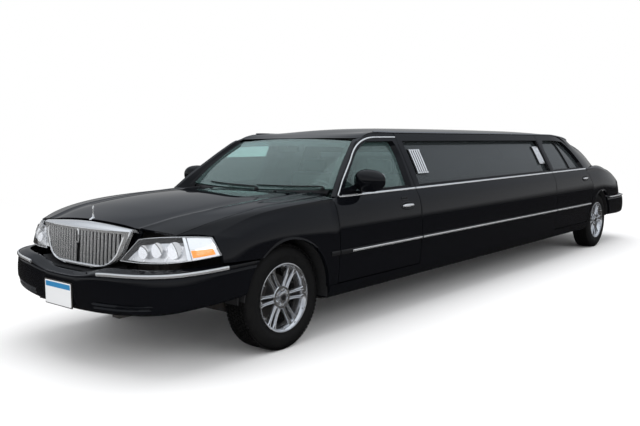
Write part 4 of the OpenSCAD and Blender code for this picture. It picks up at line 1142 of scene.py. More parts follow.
def bumper_strip(end, u0, u1, s, high, out):
    path, outs = [], []
    for u in spread(u0, u1, 40):
        at = plan_at(end[0], end[2], abs(u))
        path.append(bumper_point(end, at, u, s, -1.0))
        outs.append(np.array([end[4] * at[1][1], -at[1][0], 0]))
    section = [(-3, -high / 2), (out * 0.6, -high / 2), (out, -high / 4), (out, high / 4),
               (out * 0.6, high / 2), (-3, high / 2)]
    return sweep(path, section, outs)


both("front_strip", bumper_strip(FRONT_END, 0.24, 0.86, 4.75, 21, 8), "body", CHROME, sharp=50)
both("front_strip_end", bumper_strip(FRONT_END, 0.865, 0.985, 4.75, 15, 4), "body", PLASTIC,
     sharp=50)
both("rear_strip", bumper_strip(REAR_END, 0.25, 0.97, 4.7, 17, 6), "body", CHROME, sharp=50)

# number plates: plain, with a coloured band and no marks
for name, x, z, way in (("front_plate", fa(FRONT), 450, 1), ("rear_plate", ra(-REAR), 480, -1)):
    sheet = [[(x + way * t, y, z + zz) for y, zz in rounded(300, 148, 8)] for t in (0.2, 1.4)]
    v, f = loft(sheet)
    piece(name, v, f, "body", WHITE)
    v, f = box_at((min(x + way * 1.3, x + way * 1.8), -142, z + 34),
                  (max(x + way * 1.3, x + way * 1.8), 142, z + 66))
    piece(name + "_band", v, f, "body", BLUE)
print("bumpers and plates")

# %% [markdown]
# ## Grille surround
# A chromed die-cast frame with a brow rolled back on top. A curve with a bevel could make the ring,
# but not the brow, so the frame is a sheet with its middle left open.

# %% Grille surround
G_LOW, G_HIGH, G_TOP = 612, 852, 488


def grille_x(y, z):
    return fa(962 - 0.2 * y * y / 1000 - 0.08 * (z - G_LOW))


def grille_half(z):
    return curve([(G_LOW, 150), (G_LOW + 22, 300), (G_LOW + 80, 400), (G_LOW + 160, 450),
                  (G_HIGH, G_TOP)], z)


def grille_frame():
    zs = (spread(G_LOW, G_LOW + 18, 4)[:-1] + spread(G_LOW + 18, G_HIGH - 18, 24)[:-1]
          + spread(G_HIGH - 18, G_HIGH, 5))
    us = [-1, -0.985, -0.955, -0.93] + spread(-0.91, 0.91, 40) + [0.93, 0.955, 0.985, 1]

    def point(z, u, back):
        y = u * grille_half(z)
        rim = max(bump(abs(u), 0.955, 0.035), bump(z, G_LOW + 9, 8), bump(z, G_HIGH, 30))
        return np.array([grille_x(y, z) - back + 6 * rim, y, z])

    outer = [[point(z, u, 0) for u in us] for z in zs]
    inner = [[point(z, u, 30) for u in us] for z in zs]
    back_edge = inner[-1]
    # a chrome brow rolls back over the top edge
    for k in spread(0, 1, 6)[1:]:
        row = []
        for u in us:
            y = u * G_TOP
            p = point(G_HIGH, u, 0)
            q = np.array([grille_x(y, G_HIGH) - 62 + 8 * u * u, y * 0.985,
                          G_HIGH + 34 - 30 * u * u])
            row.append(mix(p, q, k) + np.array([5, 0, 9]) * 4 * k * (1 - k))
        outer.append(row)
        inner.append([mix(last, top - [14, 0, 22], k) for last, top in zip(back_edge, row)])

    def opening(i, j):
        return (i + 1 < len(zs) and zs[i] >= G_LOW + 18 - 1e-6
                and zs[i + 1] <= G_HIGH - 18 + 1e-6
                and us[j] >= -0.91 - 1e-6 and us[j + 1] <= 0.91 + 1e-6)

    return shell(outer, inner, opening)


piece("grille_surround", *grille_frame(), "body", CHROME, replaces=("grille",), sharp=40)
print("grille surround")

# %% [markdown]
# ## Grille bars and ornament
# Upright bars of one section stand side by side: exactly what the rods tree repeats. The ornament
# is a plain fin, lofted through eight ovals.


# %% Grille bars and ornament
def bar_low(y):
    return G_LOW + 12 + curve([(270, 0), (360, 58), (405, 138)], max(abs(y), 270))


bars = [k * 35 for k in range(-12, 13) if k]
rods("grille_bars", [[(grille_x(y, z) - 8, y, z) for z in (bar_low(y), mix(bar_low(y), 838, 0.5),
                                                           838)] for y in bars], 9.5, "body",
     CHROME, sides=12)
rods("grille_bar_backs", [[(grille_x(y, z) - 19, y, z) for z in (bar_low(y), 838)]
        for y in bars], 5, "body", PLASTIC, sides=8)


def back_sheet(depth):
    return [[(grille_x(u * 480 * 0.94, z) - depth, u * grille_half(z) * 0.97, z)
             for u in spread(-1, 1, 30)] for z in spread(G_LOW + 3, G_HIGH - 6, 10)]


piece("grille_back", *shell(back_sheet(34), back_sheet(40)), "body", LINING)
# a plain upright bar in the middle
v, f = loft([[(grille_x(0, z) + 2 + o, y, z) for o, y in ((-6, -w), (2, -w), (6, -w * 0.6),
                                                         (6, w * 0.6), (2, w), (-6, w))]
             for z, w in ((752, 6), (758, 9), (790, 13), (838, 15), (842, 13))])
piece("grille_centre_bar", v, f, "body", CHROME, sharp=40)
v, f = loft([[(grille_x(0, z) + 8 + o, y, z) for o, y in ((0, -w), (1.4, -w), (1.4, w), (0, w))]
             for z, w in ((764, 5), (830, 8))])
piece("grille_centre_inlay", v, f, "body", PLASTIC)
# hood ornament: a plain upright fin on a small base
v, f = loft([[(fa(x) + a * math.cos(t), b * math.sin(t), z) for t in
              around(20)]
             for z, x, a, b in ((890, 838, 26, 11), (895, 838, 25, 10), (900, 836, 16, 7),
                                (908, 834, 8, 4.5), (930, 833, 6, 3.6), (955, 832, 7.5, 3.2),
                                (972, 831, 7, 2.8), (980, 830, 4, 1.8))])
piece("hood_ornament", v, f, "hood", CHROME, sharp=50)
print("bars:", len(bars))

# %% [markdown]
# ## Headlamp surface
# The lens wraps round the car's corner, where a flat outline projected on would stretch. So the lens
# and all that is behind it use one patch between two lines.


# %% Headlamp surface
def lamp_point(t, v, inward=0.0):
    a, b = along(LAMP_LOW, t, fa), along(LAMP_TOP, t, fa)
    p = mix(a, b, v) + np.array([20, 28, 0]) * v * (1 - v)
    if inward:
        p = p - lamp_normal(t, v) * inward
    return p


def lamp_normal(t, v):
    du = lamp_point(limit(t + 0.02), v) - lamp_point(limit(t - 0.02), v)
    dv = lamp_point(t, limit(v + 0.05)) - lamp_point(t, limit(v - 0.05))
    return unit(np.cross(du, dv))


def lamp_behind(t, v, gap=0.0):
    return lamp_point(mix(0.02, 0.98, t), v) + [-mix(46 + gap, 6 + gap, t * t),
            -mix(0, 30 + gap, t), -40 * v * v]


TS, VS = spread(0, 1, 48), spread(0, 1, 20)


def lamp_patch(t0, t1, v0, v1, near, far, n=20, m=8):
    ts, vs = spread(t0, t1, n), spread(v0, v1, m)
    return shell([[lamp_point(t, v, near) for t in ts] for v in vs],
                 [[lamp_point(t, v, far) for t in ts] for v in vs])


both("headlamp_lens", shell([[lamp_point(t, v) for t in TS] for v in VS],
        [[lamp_point(mix(0.004, 0.996, t), mix(0.01, 0.99, v), 2.4)
          for t in TS] for v in VS]), "body", CLEAR, replaces=("headlamps",))
both("headlamp_housing", shell([[lamp_behind(t, v) + [2, 0, 0] for t in TS] for v in VS],
        [[lamp_behind(t, v) for t in TS] for v in VS]), "body", SILVER)
print("lens patch:", len(TS), "by", len(VS))

# %% [markdown]
# ## Reflectors and lamp faces
# Deep bright bowls throw the light, beside frosted and amber faces. Emission could fake a lamp, but
# an unlit one lives from reflections, so the bowls are real turned shapes.


# %% Reflectors and lamp faces
def bowl(t, v, r, deep):
    """A round reflector with a bulb shield, facing out through the lens."""
    n = lamp_normal(t, v)
    forward = np.array([1.0, 0, 0.0])
    n = n * 0.45 + forward * 0.55
    n = n / np.linalg.norm(n)
    c = lamp_point(t, v, 7)
    a = np.cross(n, (0, 0, 1.0))
    a = a / np.linalg.norm(a)
    b = np.cross(n, a)
    profile = [(r, 0), (r * 0.99, -1.5), (r * 0.85, -deep * 0.3), (r * 0.6, -deep * 0.62),
               (r * 0.3, -deep * 0.9), (0.15 * r, -deep), (0.15 * r, -deep * 0.55),
               (0.24 * r, -deep * 0.45), (0.24 * r, -deep * 0.2), (0.02 * r, -deep * 0.12)]
    back = [(p, d - 1.6) for p, d in reversed(profile[:6])]
    verts, rings = [], profile + back
    turn = around(40)
    for p, d in rings:
        verts.append([c + n * d + a * p * math.cos(w) + b * p * math.sin(w) for w in turn])
    return loft(verts)


reflectors = merged(bowl(0.2, 0.46, 41, 24), bowl(0.36, 0.53, 45, 24), bowl(0.545, 0.5, 50, 22))
both("headlamp_reflectors", reflectors, "body", MIRROR, sharp=28)
both("headlamp_divider", lamp_patch(0.655, 0.69, 0.02, 0.98, 3.2, 8, 4, 16), "body", FROST)
both("headlamp_frost", lamp_patch(0.7, 0.965, 0.47, 0.95, 3.0, 4.6), "body", FROST)
both("headlamp_amber", lamp_patch(0.71, 0.95, 0.1, 0.42, 3.0, 4.8), "body", AMBER)
both("headlamp_side", lamp_patch(0.7, 0.99, 0.01, 0.99, 5.0, 6.2), "body", MIRROR)
rim = ([lamp_point(t, 0, 1) for t in TS] + [lamp_point(1, v, 1) for v in VS[1:]]
       + [lamp_point(t, 1, 1) for t in TS[-2::-1]] + [lamp_point(0, v, 1) for v in VS[-2:0:-1]])
for side, k in HANDS:
    rods(f"headlamp_rim_{side}", [[p * [1, k, 1] for p in rim] + [rim[0] * [1, k, 1]]], 2.6,
         "body", CHROME, sides=8)
print("three bowls a side")

# %% [markdown]
# ## Header panel
# The painted panel behind the grille holds the lamps' buckets. Separate sheets would leave gaps, so
# panel and buckets are one piece.


# %% Header panel
def header_part():
    zs = spread(660, 850, 19)
    us = spread(-1, 1, 48)

    def point(z, u, back):
        return (fa(905 - 35 * u * u - 0.28 * (z - 660)) - back,
                u * mix(450, 500, (z - 660) / 190), z)

    return shell([[point(z, u, 0) for u in us] for z in zs],
                 [[point(z, u, 18) for u in us] for z in zs],
                 lambda i, j: 700 <= zs[i] and zs[i + 1] <= 812 and abs(us[j] + us[j + 1]) < 1.3)


buckets = shell([[lamp_behind(t, v, 0.7) for t in TS] for v in VS],
                [[lamp_behind(t, v, 10) for t in TS] for v in VS])
v, f = merged(header_part(), buckets, (flip(buckets[0]), buckets[1]))
piece("header_skin", v, f, "body", PAINT, replaces=("header_panel",))
print("header panel")

# %% [markdown]
# ## Windshield and rear window
# Both are bent two ways, with a baked black border. A subdivided plane would only come near; a
# formula gives pane, border and shade band the same curve a hair apart.


# %% Windshield and rear window
def windshield_point(u, v, inward=0.0):
    b = 88 * v * (1 - v) - inward
    return np.array([fa(mix(-562, -1088, v) - mix(112, 26, v) * u * u) + 0.59 * b,
                     u * mix(778, 628, v),
                     mix(1022, ROOF - 102, v) + mix(19, -24, v) * u * u + 0.81 * b])


def back_glass_point(u, v, inward=0.0):
    b = 184 * v * (1 - v) - inward
    return np.array([ra(mix(-560, 150, v) + mix(60, -40, v) * u * u) - 0.52 * b,
                     u * mix(655, 545, v),
                     mix(1074, ROOF - 104, v) + mix(-8, -52, v) * u * u + 0.85 * b])


def glass_patch(point, u0, u1, v0, v1, near, far, n=24, m=12):
    us, vs = spread(u0, u1, n), spread(v0, v1, m)
    return shell([[point(u, v, near) for u in us] for v in vs],
                 [[point(u, v, far) for u in us] for v in vs])


for name, point, glass, thick in (("windshield", windshield_point, TEAL, 6),
        ("rear_window", back_glass_point, SMOKE, 5)):
    v, f = glass_patch(point, -1, 1, 0, 1, 0, thick, 48, 24)
    piece(name + "_pane", v, f, "body", glass, replaces=(name,))
    edge = merged(glass_patch(point, -0.995, 0.995, 0.004, 0.06, thick + 0.2, thick + 1, 40, 3),
                  glass_patch(point, -0.995, 0.995, 0.94, 0.996, thick + 0.2, thick + 1, 40, 3),
                  glass_patch(point, -0.995, -0.935, 0.06, 0.94, thick + 0.2, thick + 1, 3, 24),
                  glass_patch(point, 0.935, 0.995, 0.06, 0.94, thick + 0.2, thick + 1, 3, 24))
    piece(name + "_border", *edge, "body", SEAL, slot=False)
v, f = glass_patch(windshield_point, -0.934, 0.934, 0.83, 0.938, 6.2, 7)
piece("windshield_shade_band", v, f, "body", BAND)
print("both screens")

# %% [markdown]
# ## Pillars
# The front pillars are slim posts, the rear ones broad sails that melt into the deck. Bridging door
# and glass by hand is usual; mixing the two edges does the same and follows their changes.


# %% Pillars
def front_pillar():
    qs, ss = spread(0, 1, 30), spread(1, 0, 8)
    outer, inner = [], []
    for q in qs:
        w = mix(1.02, 1.9, q)
        a = on_side(front_door_front(w) + outline_gap(w), w, DOOR_LOW)
        b = windshield_point(1, mix(-0.06, 0.97, q)) + [0, 2.5, 0]
        row = [mix(a, b, s) + np.array([6, 6, 8]) * 4 * s * (1 - s) for s in ss]
        outer.append(row)
        shift = [(0, np.array([3, -40, 0])), (0.5, np.array([-8, -30, -22])),
                 (1, np.array([-14, -8, -26]))]
        inner.append([row[j] + [curve([(k, o[n]) for k, o in shift], s) for n in range(3)]
                      for j, s in enumerate(ss)])
    return shell(outer, inner)


def rear_pillar_point(w, s):
    g = (w - 1.03) / 0.97
    a = on_side(rear_door_rear(w) - outline_gap(w), w, DOOR_LOW)
    b = back_glass_point(1, mix(0.03, 1, g)) + [0, 0.9, 0]
    foot = along(DECK, 3 / 7 * s, ra) + [0, 0, 0.3]
    x, k = mix(a[0], b[0], s), g ** 3 * (1 - s ** 6)
    p = [x, mix(mix(a[1], b[1], s ** 1.5), edge_y(x), k), mix(mix(a[2], b[2], s), edge_z(x), k)]
    fall = (1 - g) ** 3
    return np.array([mix(p[0], mix(a[0], foot[0], 0.9), fall), mix(p[1], foot[1], fall * s),
                     mix(p[2], foot[2] + 1, fall)])


def rear_pillar():
    ws, ss = refine([1.03, 1.25, 1.5, 1.75, 1.9, 2], 5), spread(0, 1, 24)
    outer = [[rear_pillar_point(w, s) for s in ss] for w in ws]
    inner = [[q - [0, mix(36, 0.4, s), mix(limit((w - 1.9) / 0.1) * 30, 26, s)]
              for q, s in zip(row, ss)] for row, w in zip(outer, ws)]
    return shell(outer, inner)


def pillar_fillet():
    """Fills the corner between the pillar's foot and the back glass."""
    grids = []
    for sink in (0, 5):
        grids.append([[mix(rear_pillar_point(w, 1) - [0, 0.5, 1 + sink],
                           back_glass_point(0.975, mix(0.01, 1, (w - 1.03) / 0.97), 7 + sink),
                           s) for s in spread(0, 1, 4)] for w in spread(1.03, 1.6, 14)])
    return shell(*grids)


both("front_pillar", front_pillar(), "body", PAINT, replaces=("roof_pillars",))
both("rear_pillar", rear_pillar(), "body", PAINT, replaces=("roof_pillars",))
both("rear_pillar_fillet", pillar_fillet(), "body", PAINT)
print("pillars")

# %% [markdown]
# ## Roof
# A long pressing that falls away at its ends and sides. A lattice could bend a plane so; two lines,
# for its middle and its edge, say the same with few numbers.

# %% Roof
MID_DROP = [(ra(158), 102), (ra(450), 56), (ra(900), 18), (ra(1500), 0), (fa(-2300), 0),
            (fa(-1700), 16), (fa(-1350), 58), (fa(-1090), 98)]
SIDE_DROP = [(ra(118), 158), (ra(400), 105), (ra(750), 72), (ra(1100), 55), (fa(-1600), 55),
             (fa(-1310), 55), (fa(-1210), 74), (fa(-1130), 104)]
SIDE_IN = [(ra(118), 131), (ra(400), 48), (ra(750), 13), (ra(1100), 3), (fa(-1600), 3),
           (fa(-1310), 6), (fa(-1130), -14)]


def roof_point(s, u, inward, corner=20):
    """s runs from the windshield to the back glass, u from right to left."""
    x = mix(fa(-1096), ra(158), s) - mix(34, 40, s) * u * u - corner * (1 - s) * u ** 8
    middle, edge = ROOF - curve(MID_DROP, x), ROOF - curve(SIDE_DROP, x)
    return (x, u * (EDGE - curve(SIDE_IN, x) - inward * 1.4),
            middle - (middle - edge) * abs(u) ** 2.4 - inward)


def roof_part():
    places = refine([0, 0.02, 0.05, 0.1, 0.2, 0.35, 0.5, 0.65, 0.78, 0.88, 0.95, 1], 6)
    half = [0, 0.1, 0.2, 0.3, 0.42, 0.55, 0.66, 0.75, 0.82, 0.88, 0.92, 0.95, 0.975, 0.99, 1]
    us = [-u for u in half[:0:-1]] + half
    return shell([[roof_point(s, u, 0) for u in us] for s in places],
                 [[roof_point(mix(0.004, 0.996, s), u,
                              FRAME * mix(0.18, 1, limit(12 * s - 0.6)))
                   for u in us] for s in places])


piece("roof_skin", *roof_part(), "body", PAINT, replaces=("roof_panel",))
print("roof")

# %% [markdown]
# ## Tail lamps
# A red lens, a pale reversing lamp and a bright bowl. One red block would look like paint, so three
# thin shells lie behind each other, as on the real lamp.


# %% Tail lamps
def tail_lamp_shell(near, far, z0, z1, y0, y1):
    ys, hs = spread(y0, y1, 10), spread(z0, z1, 10)

    def point(h, y, back):
        s = (y - 662) / 110
        return (ra(-1264 + 30 * s * s) + back, y, mix(668, mix(850, 772, s), h))

    return shell([[point(h, y, near) for y in ys] for h in hs],
                 [[point(h, y, far) for y in ys] for h in hs])


both("tail_lamp_lens", tail_lamp_shell(0, 4, 0, 1, 662, 772), "body", RED,
     replaces=("tail_lamps",))
both("tail_lamp_bowl", tail_lamp_shell(16, 20, 0.02, 0.98, 664, 770), "body", MIRROR)
both("tail_lamp_reverse", tail_lamp_shell(6, 10, 0.36, 0.6, 668, 764), "body", FROST)
print("tail lamps")

# %% [markdown]
# ## Strips that follow the side
# Trim is pressed metal on the panel. Shrinkwrap could pull it on; here its path is read from the
# side surface, and it is split where a door ends so that each length rides its panel.


# %% Strips that follow the side
def side_normal(x, z):
    return unit(np.array([side_y(x - 4, z) - side_y(x + 4, z), 8,
            side_y(x, z - 4) - side_y(x, z + 4)]))


def strip_section(high, out, sink=2.0):
    return [(-sink, -high / 2), (out * 0.55, -high / 2), (out, -high * 0.22),
            (out, high * 0.22), (out * 0.55, high / 2), (-sink, high / 2)]


def side_strip(points, high, out, sink=2.0):
    """Strip along (x, z) places of the side surface."""
    path = [np.array([x, side_y(x, z), z]) for x, z in points]
    return sweep(path, strip_section(high, out, sink), [side_normal(x, z) for x, z in points])


def level(x0, x1, z, n=30):
    return [(x, z(x) if callable(z) else z) for x in spread(x0, x1, n)]


def edge_place(edge, w, shift=0.0):
    x = edge(w) + shift
    return x, side_z(x, w, DOOR_LOW)


def belt_line(x):
    return belt_z(x) + 7


def window_corner():
    """Round the chrome line over from the pillar to the roof's edge."""
    a = np.array(edge_place(front_door_front, 1.58, -14))
    b = np.array(edge_place(front_door_front, 1.86, -14))
    c = np.array([fa(-DOOR_START - 830), side_z(fa(-DOOR_START - 830), 1.93, DOOR_LOW)])
    b[1] = c[1]
    return [tuple(mix(mix(a, b, t), mix(b, c, t), t)) for t in spread(0, 1, 20)[1:]]


print("strips ready")

# %% [markdown]
# ## Belt, window and roof strips
# A bright line runs under the glass and turns up round the front window. A curve object could carry
# it; a list of stretches, with a quadratic curve at the corner, stays on the side surface.

# %% Belt, window and roof strips
both("belt_strip_wall", side_strip(level(wall_front(1) - 2, wall_rear(1) + 2, belt_line, 60),
        15, 5), "body", CHROME, sharp=50)
both("belt_strip_rear", side_strip(level(rear_door_front(1) - 2, rear_door_rear(1) + 12,
        belt_line, 50), 15, 5), "rear_door_SIDE", CHROME, sharp=50)
front_line = (level(front_door_rear(1) + 2, front_door_front(1.03) - 30, belt_line, 30)
              + [edge_place(front_door_front, w, -14) for w in spread(1.035, 1.58, 24)]
              + window_corner()
              + [(x, side_z(x, 1.93, DOOR_LOW)) for x in
                 spread(fa(-DOOR_START - 830), front_door_rear(1.93) + 3, 14)[1:]])
both("front_window_strip", side_strip(front_line, 11, 4.5), "front_door_SIDE", CHROME, sharp=50)
both("belt_strip_front", side_strip(level(front_door_rear(1) + 2, front_door_front(1.03) - 60,
        belt_line, 30), 15, 5.4), "front_door_SIDE", CHROME, sharp=50)


def roof_strip(x0, x1):
    path = [(x, EDGE - curve(SIDE_IN, x) + 1.0, ROOF - curve(SIDE_DROP, x) + 3.5)
            for x in spread(x0, x1, 80)]
    return sweep(path, strip_section(13, 5, 3), (0, 0.9, 0.35))


both("roof_strip", roof_strip(fa(-1330), ra(330)), "body", SATIN, sharp=50)
print("belt, window and roof strips")

# %% [markdown]
# ## Side mouldings
# A rubber-backed moulding saves the doors from knocks. Its chrome insert could be a second material
# on the same faces, but a narrower strip on top gives a true edge.

# %% Side mouldings
MOULD = 604
for name, x0, x1, on, chrome_from in (
        ("fender", fa(-ARCH - 8), fa(-DOOR_START) + GAP + 2, "body", None),
        ("front_door", front_door_front(0.4) - 3, front_door_rear(0.4) + 3, "front_door_SIDE",
         fa(-640)),
        ("wall", wall_front(0.4) - 3, wall_rear(0.4) + 3, "body", wall_front(0.4) - 6),
        ("rear_door", rear_door_front(0.4) - 3, rear_door_rear(0.36) + 30, "rear_door_SIDE",
         rear_door_front(0.4) - 6)):
    both(f"moulding_{name}", side_strip(level(x0, x1, MOULD, 40), 32, 8), on, PLASTIC, sharp=50)
    if chrome_from is not None:
        end = x1 - (x1 - x0) / abs(x1 - x0) * 4
        both(f"moulding_chrome_{name}", side_strip(level(chrome_from, end, MOULD - 1, 40), 20,
                10.5, -6), on, CHROME, sharp=50)
print("mouldings")

# %% [markdown]
# ## Window dividers and seals
# Rubber lips close the glass and a divider splits the rear window. A bevelled curve would do; rods
# on the window's own shares keep to its rounded corners.

# %% Window dividers and seals
divider = []
for w in spread(1.05, 1.87, 16):
    x = mix(rear_door_front(w), rear_door_rear(w), 0.6 + 0.05 * (w - 1.05) ** 2)
    divider.append((x, side_z(x, w, DOOR_LOW)))
both("rear_window_divider",
     sweep([np.array([x, side_y(x, z) - FRAME + 12, z]) for x, z in divider],
           strip_section(15, 4, 12), [side_normal(x, z) for x, z in divider]),
     "rear_door_SIDE", PLASTIC, sharp=50)


def window_seal(front, rear, s0, s1, rounded_off):
    """A thin rubber lip round the inside of a window opening."""
    loop = ([(1.063, s) for s in spread(s0, s1, 30)] + [(w, s1) for w in spread(1.08, 1.84, 20)]
            + [(1.857, s) for s in spread(s1, s0, 30)] + [(w, s0) for w in
                                                          spread(1.84, 1.08, 20)])
    path = []
    for w, s in loop:
        x = mix(front(w), rear(w), bent(s, w, s0, s1) if rounded_off else s)
        z = side_z(x, w, DOOR_LOW)
        path.append(np.array([x, side_y(x, z) - 20, z]))
    return path + [path[0]]


for name, front, rear, s0, s1, on in (
        ("front_door", front_door_front, front_door_rear, F_FRONT, 1 - F_REAR,
         "front_door_SIDE"),
        ("rear_door", rear_door_front, rear_door_rear, F_FRONT, 1 - F_REAR, "rear_door_SIDE"),
        ("wall", wall_front, wall_rear, W_FRONT, W_REAR, "body")):
    for side, k in HANDS:
        loop = [p * [1, k, 1] for p in window_seal(front, rear, s0, s1, on != "body")]
        rods(f"window_seal_{name}_{side}", [loop], 6, on.replace("SIDE", side), SEAL, sides=8)
print("dividers and seals")

# %% [markdown]
# ## Handles and keypad
# A handle is a bowed bar on two posts in an oval bezel. A cube with Subdivision Surface would do,
# but rings set off from the door's surface follow its curve.


# %% Handles and keypad
def on_panel(x, z, out=0.0):
    return np.array([x, side_y(x, z), z]) + side_normal(x, z) * out


def oval(x, z, a, b, out, n=32):
    return [on_panel(x + a * math.cos(t), z + b * math.sin(t), out) for t in around(n)]


def handle(x, z):
    bezel = loft([oval(x, z, 98, 33, -3), oval(x, z, 98, 33, 1.5), oval(x, z, 92, 28, 3),
                  oval(x, z, 84, 22, 0.5), oval(x, z, 40, 10, -1)])
    rings = []
    for k in spread(-1, 1, 24):
        h = 11 * math.sqrt(max(1 - abs(k) ** 3.2, 0.02))
        out = 17 - 7 * k * k
        c = x + k * 82
        rings.append([on_panel(c, z + h * math.sin(t), out + 0.45 * h * math.cos(t))
                      for t in around(14)])
    return bezel, loft(rings)


for name, x, z, on in (("front", fa(-1392), 874, "front_door_SIDE"),
        ("rear", ra(590), 925, "rear_door_SIDE")):
    bezel, bar = handle(x, z)
    both(f"handle_bezel_{name}", bezel, on, PLASTIC)
    posts = merged(*[loft([[on_panel(x + dx + 9 * math.cos(t), z + 7 * math.sin(t), o)
             for t in around(10)]
            for o in (-1, 11)]) for dx in (-62, 62)])
    both(f"handle_{name}", merged(bar, posts), on, CHROME)
pad_x, pad_z = fa(-1375), 932
frame_pad = loft([[on_panel(pad_x + a, pad_z + b, o) for a, b in rounded(86, 24, 6)]
                  for o in (-2, 2.6)])
piece("keypad", *frame_pad, "front_door_left", PLASTIC, sharp=40)
buttons = [on_panel(pad_x + k * 15, pad_z, 2.6) for k in range(-2, 3)]
copies("keypad_buttons", buttons, [(0, 0, 0)] * 5, (11, 2.4, 12), "front_door_left", SEAL, width=0.6)
print("handles and keypad")

# %% [markdown]
# ## Door mirrors
# A rounded pod on a foot. A squashed sphere is too pointed, so its rings are super-ellipses, which
# are boxier, as moulded housings are.

# %% Door mirrors
M_X, M_Y, M_Z = fa(-DOOR_START - 352), HALF - 8, BELT + 111


def mirror_shell():
    rings = []
    for k in spread(-1, 1, 36):
        wide = math.sqrt(max(1 - abs(k) ** 2.6, 0.0015))
        high = 84 * wide * (1 - 0.1 * k)
        deep = 80 * wide
        ring = []
        for t in around(36):
            c, s = math.cos(t), math.sin(t)
            dx = deep * math.copysign(abs(c) ** 0.8, c) * (0.55 if c < 0 else 1)
            ring.append((M_X + dx - 4, M_Y + 134 * k, M_Z + high * math.copysign(abs(s) ** 0.8,
                    s)))
        rings.append(ring)
    return loft(rings)


def mirror_foot():
    x1 = fa(-DOOR_START - 150)
    base = np.array([x1, side_y(x1, belt_z(x1) + 36) - 10, belt_z(x1) + 36])
    top = np.array([M_X + 34, M_Y - 84, M_Z - 34])
    rings = []
    for k in spread(0, 1, 10):
        c = mix(base, top, k) + np.array([0, 0, -10 * 4 * k * (1 - k)])
        a, b = mix(76, 34, k ** 0.7), mix(26, 20, k)
        rings.append([c + np.array([a * math.cos(t) * (1 if math.cos(t) < 0 else 0.9), 0,
                                    b * math.sin(t)]) for t in
                      around(24)])
    return loft(rings)


both("mirror_housing", merged(mirror_shell(), mirror_foot()), "front_door_SIDE", PAINT, sharp=60)
glass_face = loft([[(M_X - 45 + o, M_Y + a, M_Z + b) for a, b in rounded(206, 116, 40, 8)]
                   for o in (0, -3)])
both("mirror_glass", glass_face, "front_door_SIDE", MIRROR, sharp=40)
print("mirrors")

# %% [markdown]
# ## Louvred lamps beside the long window
# Each is a dark plate with upright chrome ribs that end in caps at the top and bottom. The ribs are
# rods again, laid on the side surface so that they lean with the pillar.

# %% Louvred lamps
for k, (x, wide) in enumerate(((fa(-1755), 175), (ra(1702), 148))):
    def lamp_at(w, s, inward):
        return on_side(x - s * wide - 18 * (w - 1.26), w, DOOR_LOW, inward)

    grid = [[(w, s) for s in spread(0, 1, 8)] for w in spread(1.26, 1.70, 8)]
    both(f"louvre_base_{k}", shell([[lamp_at(w, s, 30) for w, s in r] for r in grid],
                                   [[lamp_at(w, s, FRAME) for w, s in r] for r in grid]),
         "body", SEAL, slot="chrome", replaces=("opera_lamps",))
    for side, m in HANDS:
        ribs = [[lamp_at(w, s, 29) * [1, m, 1] for w in spread(1.29, 1.67, 8)]
                for s in spread(0.1, 0.9, 4)]
        rods(f"louvre_ribs_{k}_{side}", ribs, wide / 20, "body", CHROME, sides=12)
    for end, w0, w1 in (("low", 1.258, 1.292), ("high", 1.668, 1.702)):
        cap = [shell([[lamp_at(w, s, 23) for s in spread(c - 0.085, c + 0.085, 3)]
                      for w in (w0, w1)],
                     [[lamp_at(w, s, 40) for s in spread(c - 0.085, c + 0.085, 3)]
                      for w in (w0, w1)]) for c in spread(0.1, 0.9, 4)]
        both(f"louvre_cap_{k}_{end}", merged(*cap), "body", CHROME, sharp=40)
print("louvred lamps")

# %% [markdown]
# ## Cowl, wipers and trunk strip
# The cowl fills the gap between hood and glass, and the wipers rest on it. A straight wiper would
# cut into the bent glass, so arm, blade and lip are rods through points just above the pane.

# %% Cowl, wipers and trunk strip
us = spread(-0.97, 0.97, 40)
rings = []
for u in us:
    b, h = windshield_point(u, 0), hood_point(0, u)
    rings.append([(h[0] - 2, h[1], h[2] - 34), (b[0] + 8, b[1], b[2] - 9),
                  (b[0] - 20, b[1], b[2] - 22), (h[0] - 2, h[1], h[2] - 44)])
piece("cowl", *loft(rings), "body", PLASTIC)
slots = []
for u in spread(-0.8, 0.8, 60):
    h, b = hood_point(0, u), windshield_point(u, 0)
    slots.append([(mix(h[0], b[0], t) + 2, b[1], mix(h[2] - 34, b[2] - 9, t) + 1)
                  for t in (0.15, 0.85)])
rods("cowl_slots", slots, 1.6, "body", SEAL, sides=6)
for i, (u0, u1) in enumerate(((0.86, 0.1), (0.08, -0.68))):
    arm = [windshield_point(mix(u0, u1, t), 0.012 + 0.02 * t, -15 - 8 * t * (1 - t))
           for t in spread(-0.06, 0.55, 12)]
    blade = [windshield_point(mix(u0, u1, t), 0.03 + 0.02 * t, -9) for t in spread(0, 1, 20)]
    lip = [windshield_point(mix(u0, u1, t), 0.03 + 0.02 * t, -3.5) for t in spread(0, 1, 20)]
    rods(f"wiper_arm_{i}", [arm], 4, "body", SEAL)
    rods(f"wiper_blade_{i}", [blade], 3.4, "body", SEAL)
    rods(f"wiper_lip_{i}", [lip], 2.6, "body", SEAL)
    base = arm[0]
    v, f = lathe([(0.5, 0), (17, 0), (17, 12), (12, 20), (0.5, 22)], 24)
    v = v @ np.array([[1, 0, 0], [0, 0, 1], [0, -1, 0]]) + base + [4, 0, -24]
    piece(f"wiper_pivot_{i}", v, f, "body", PLASTIC)
copies("washer_jets", [hood_point(0.03, u) + [0, 0, 3] for u in (-0.4, 0.4)],
       [(0, 0.1, 0)] * 2, (26, 12, 8), "hood", PLASTIC, width=2)

# chrome bar and lock cover on the trunk lid
bar = sweep([(ra(-1290) - 4, y, 742) for y in spread(-560, 560, 30)], strip_section(26, 8),
            (-1, 0, 0.05))
piece("trunk_strip", *bar, "trunk_lid", CHROME, sharp=50)
print("cowl, wipers and trunk strip")

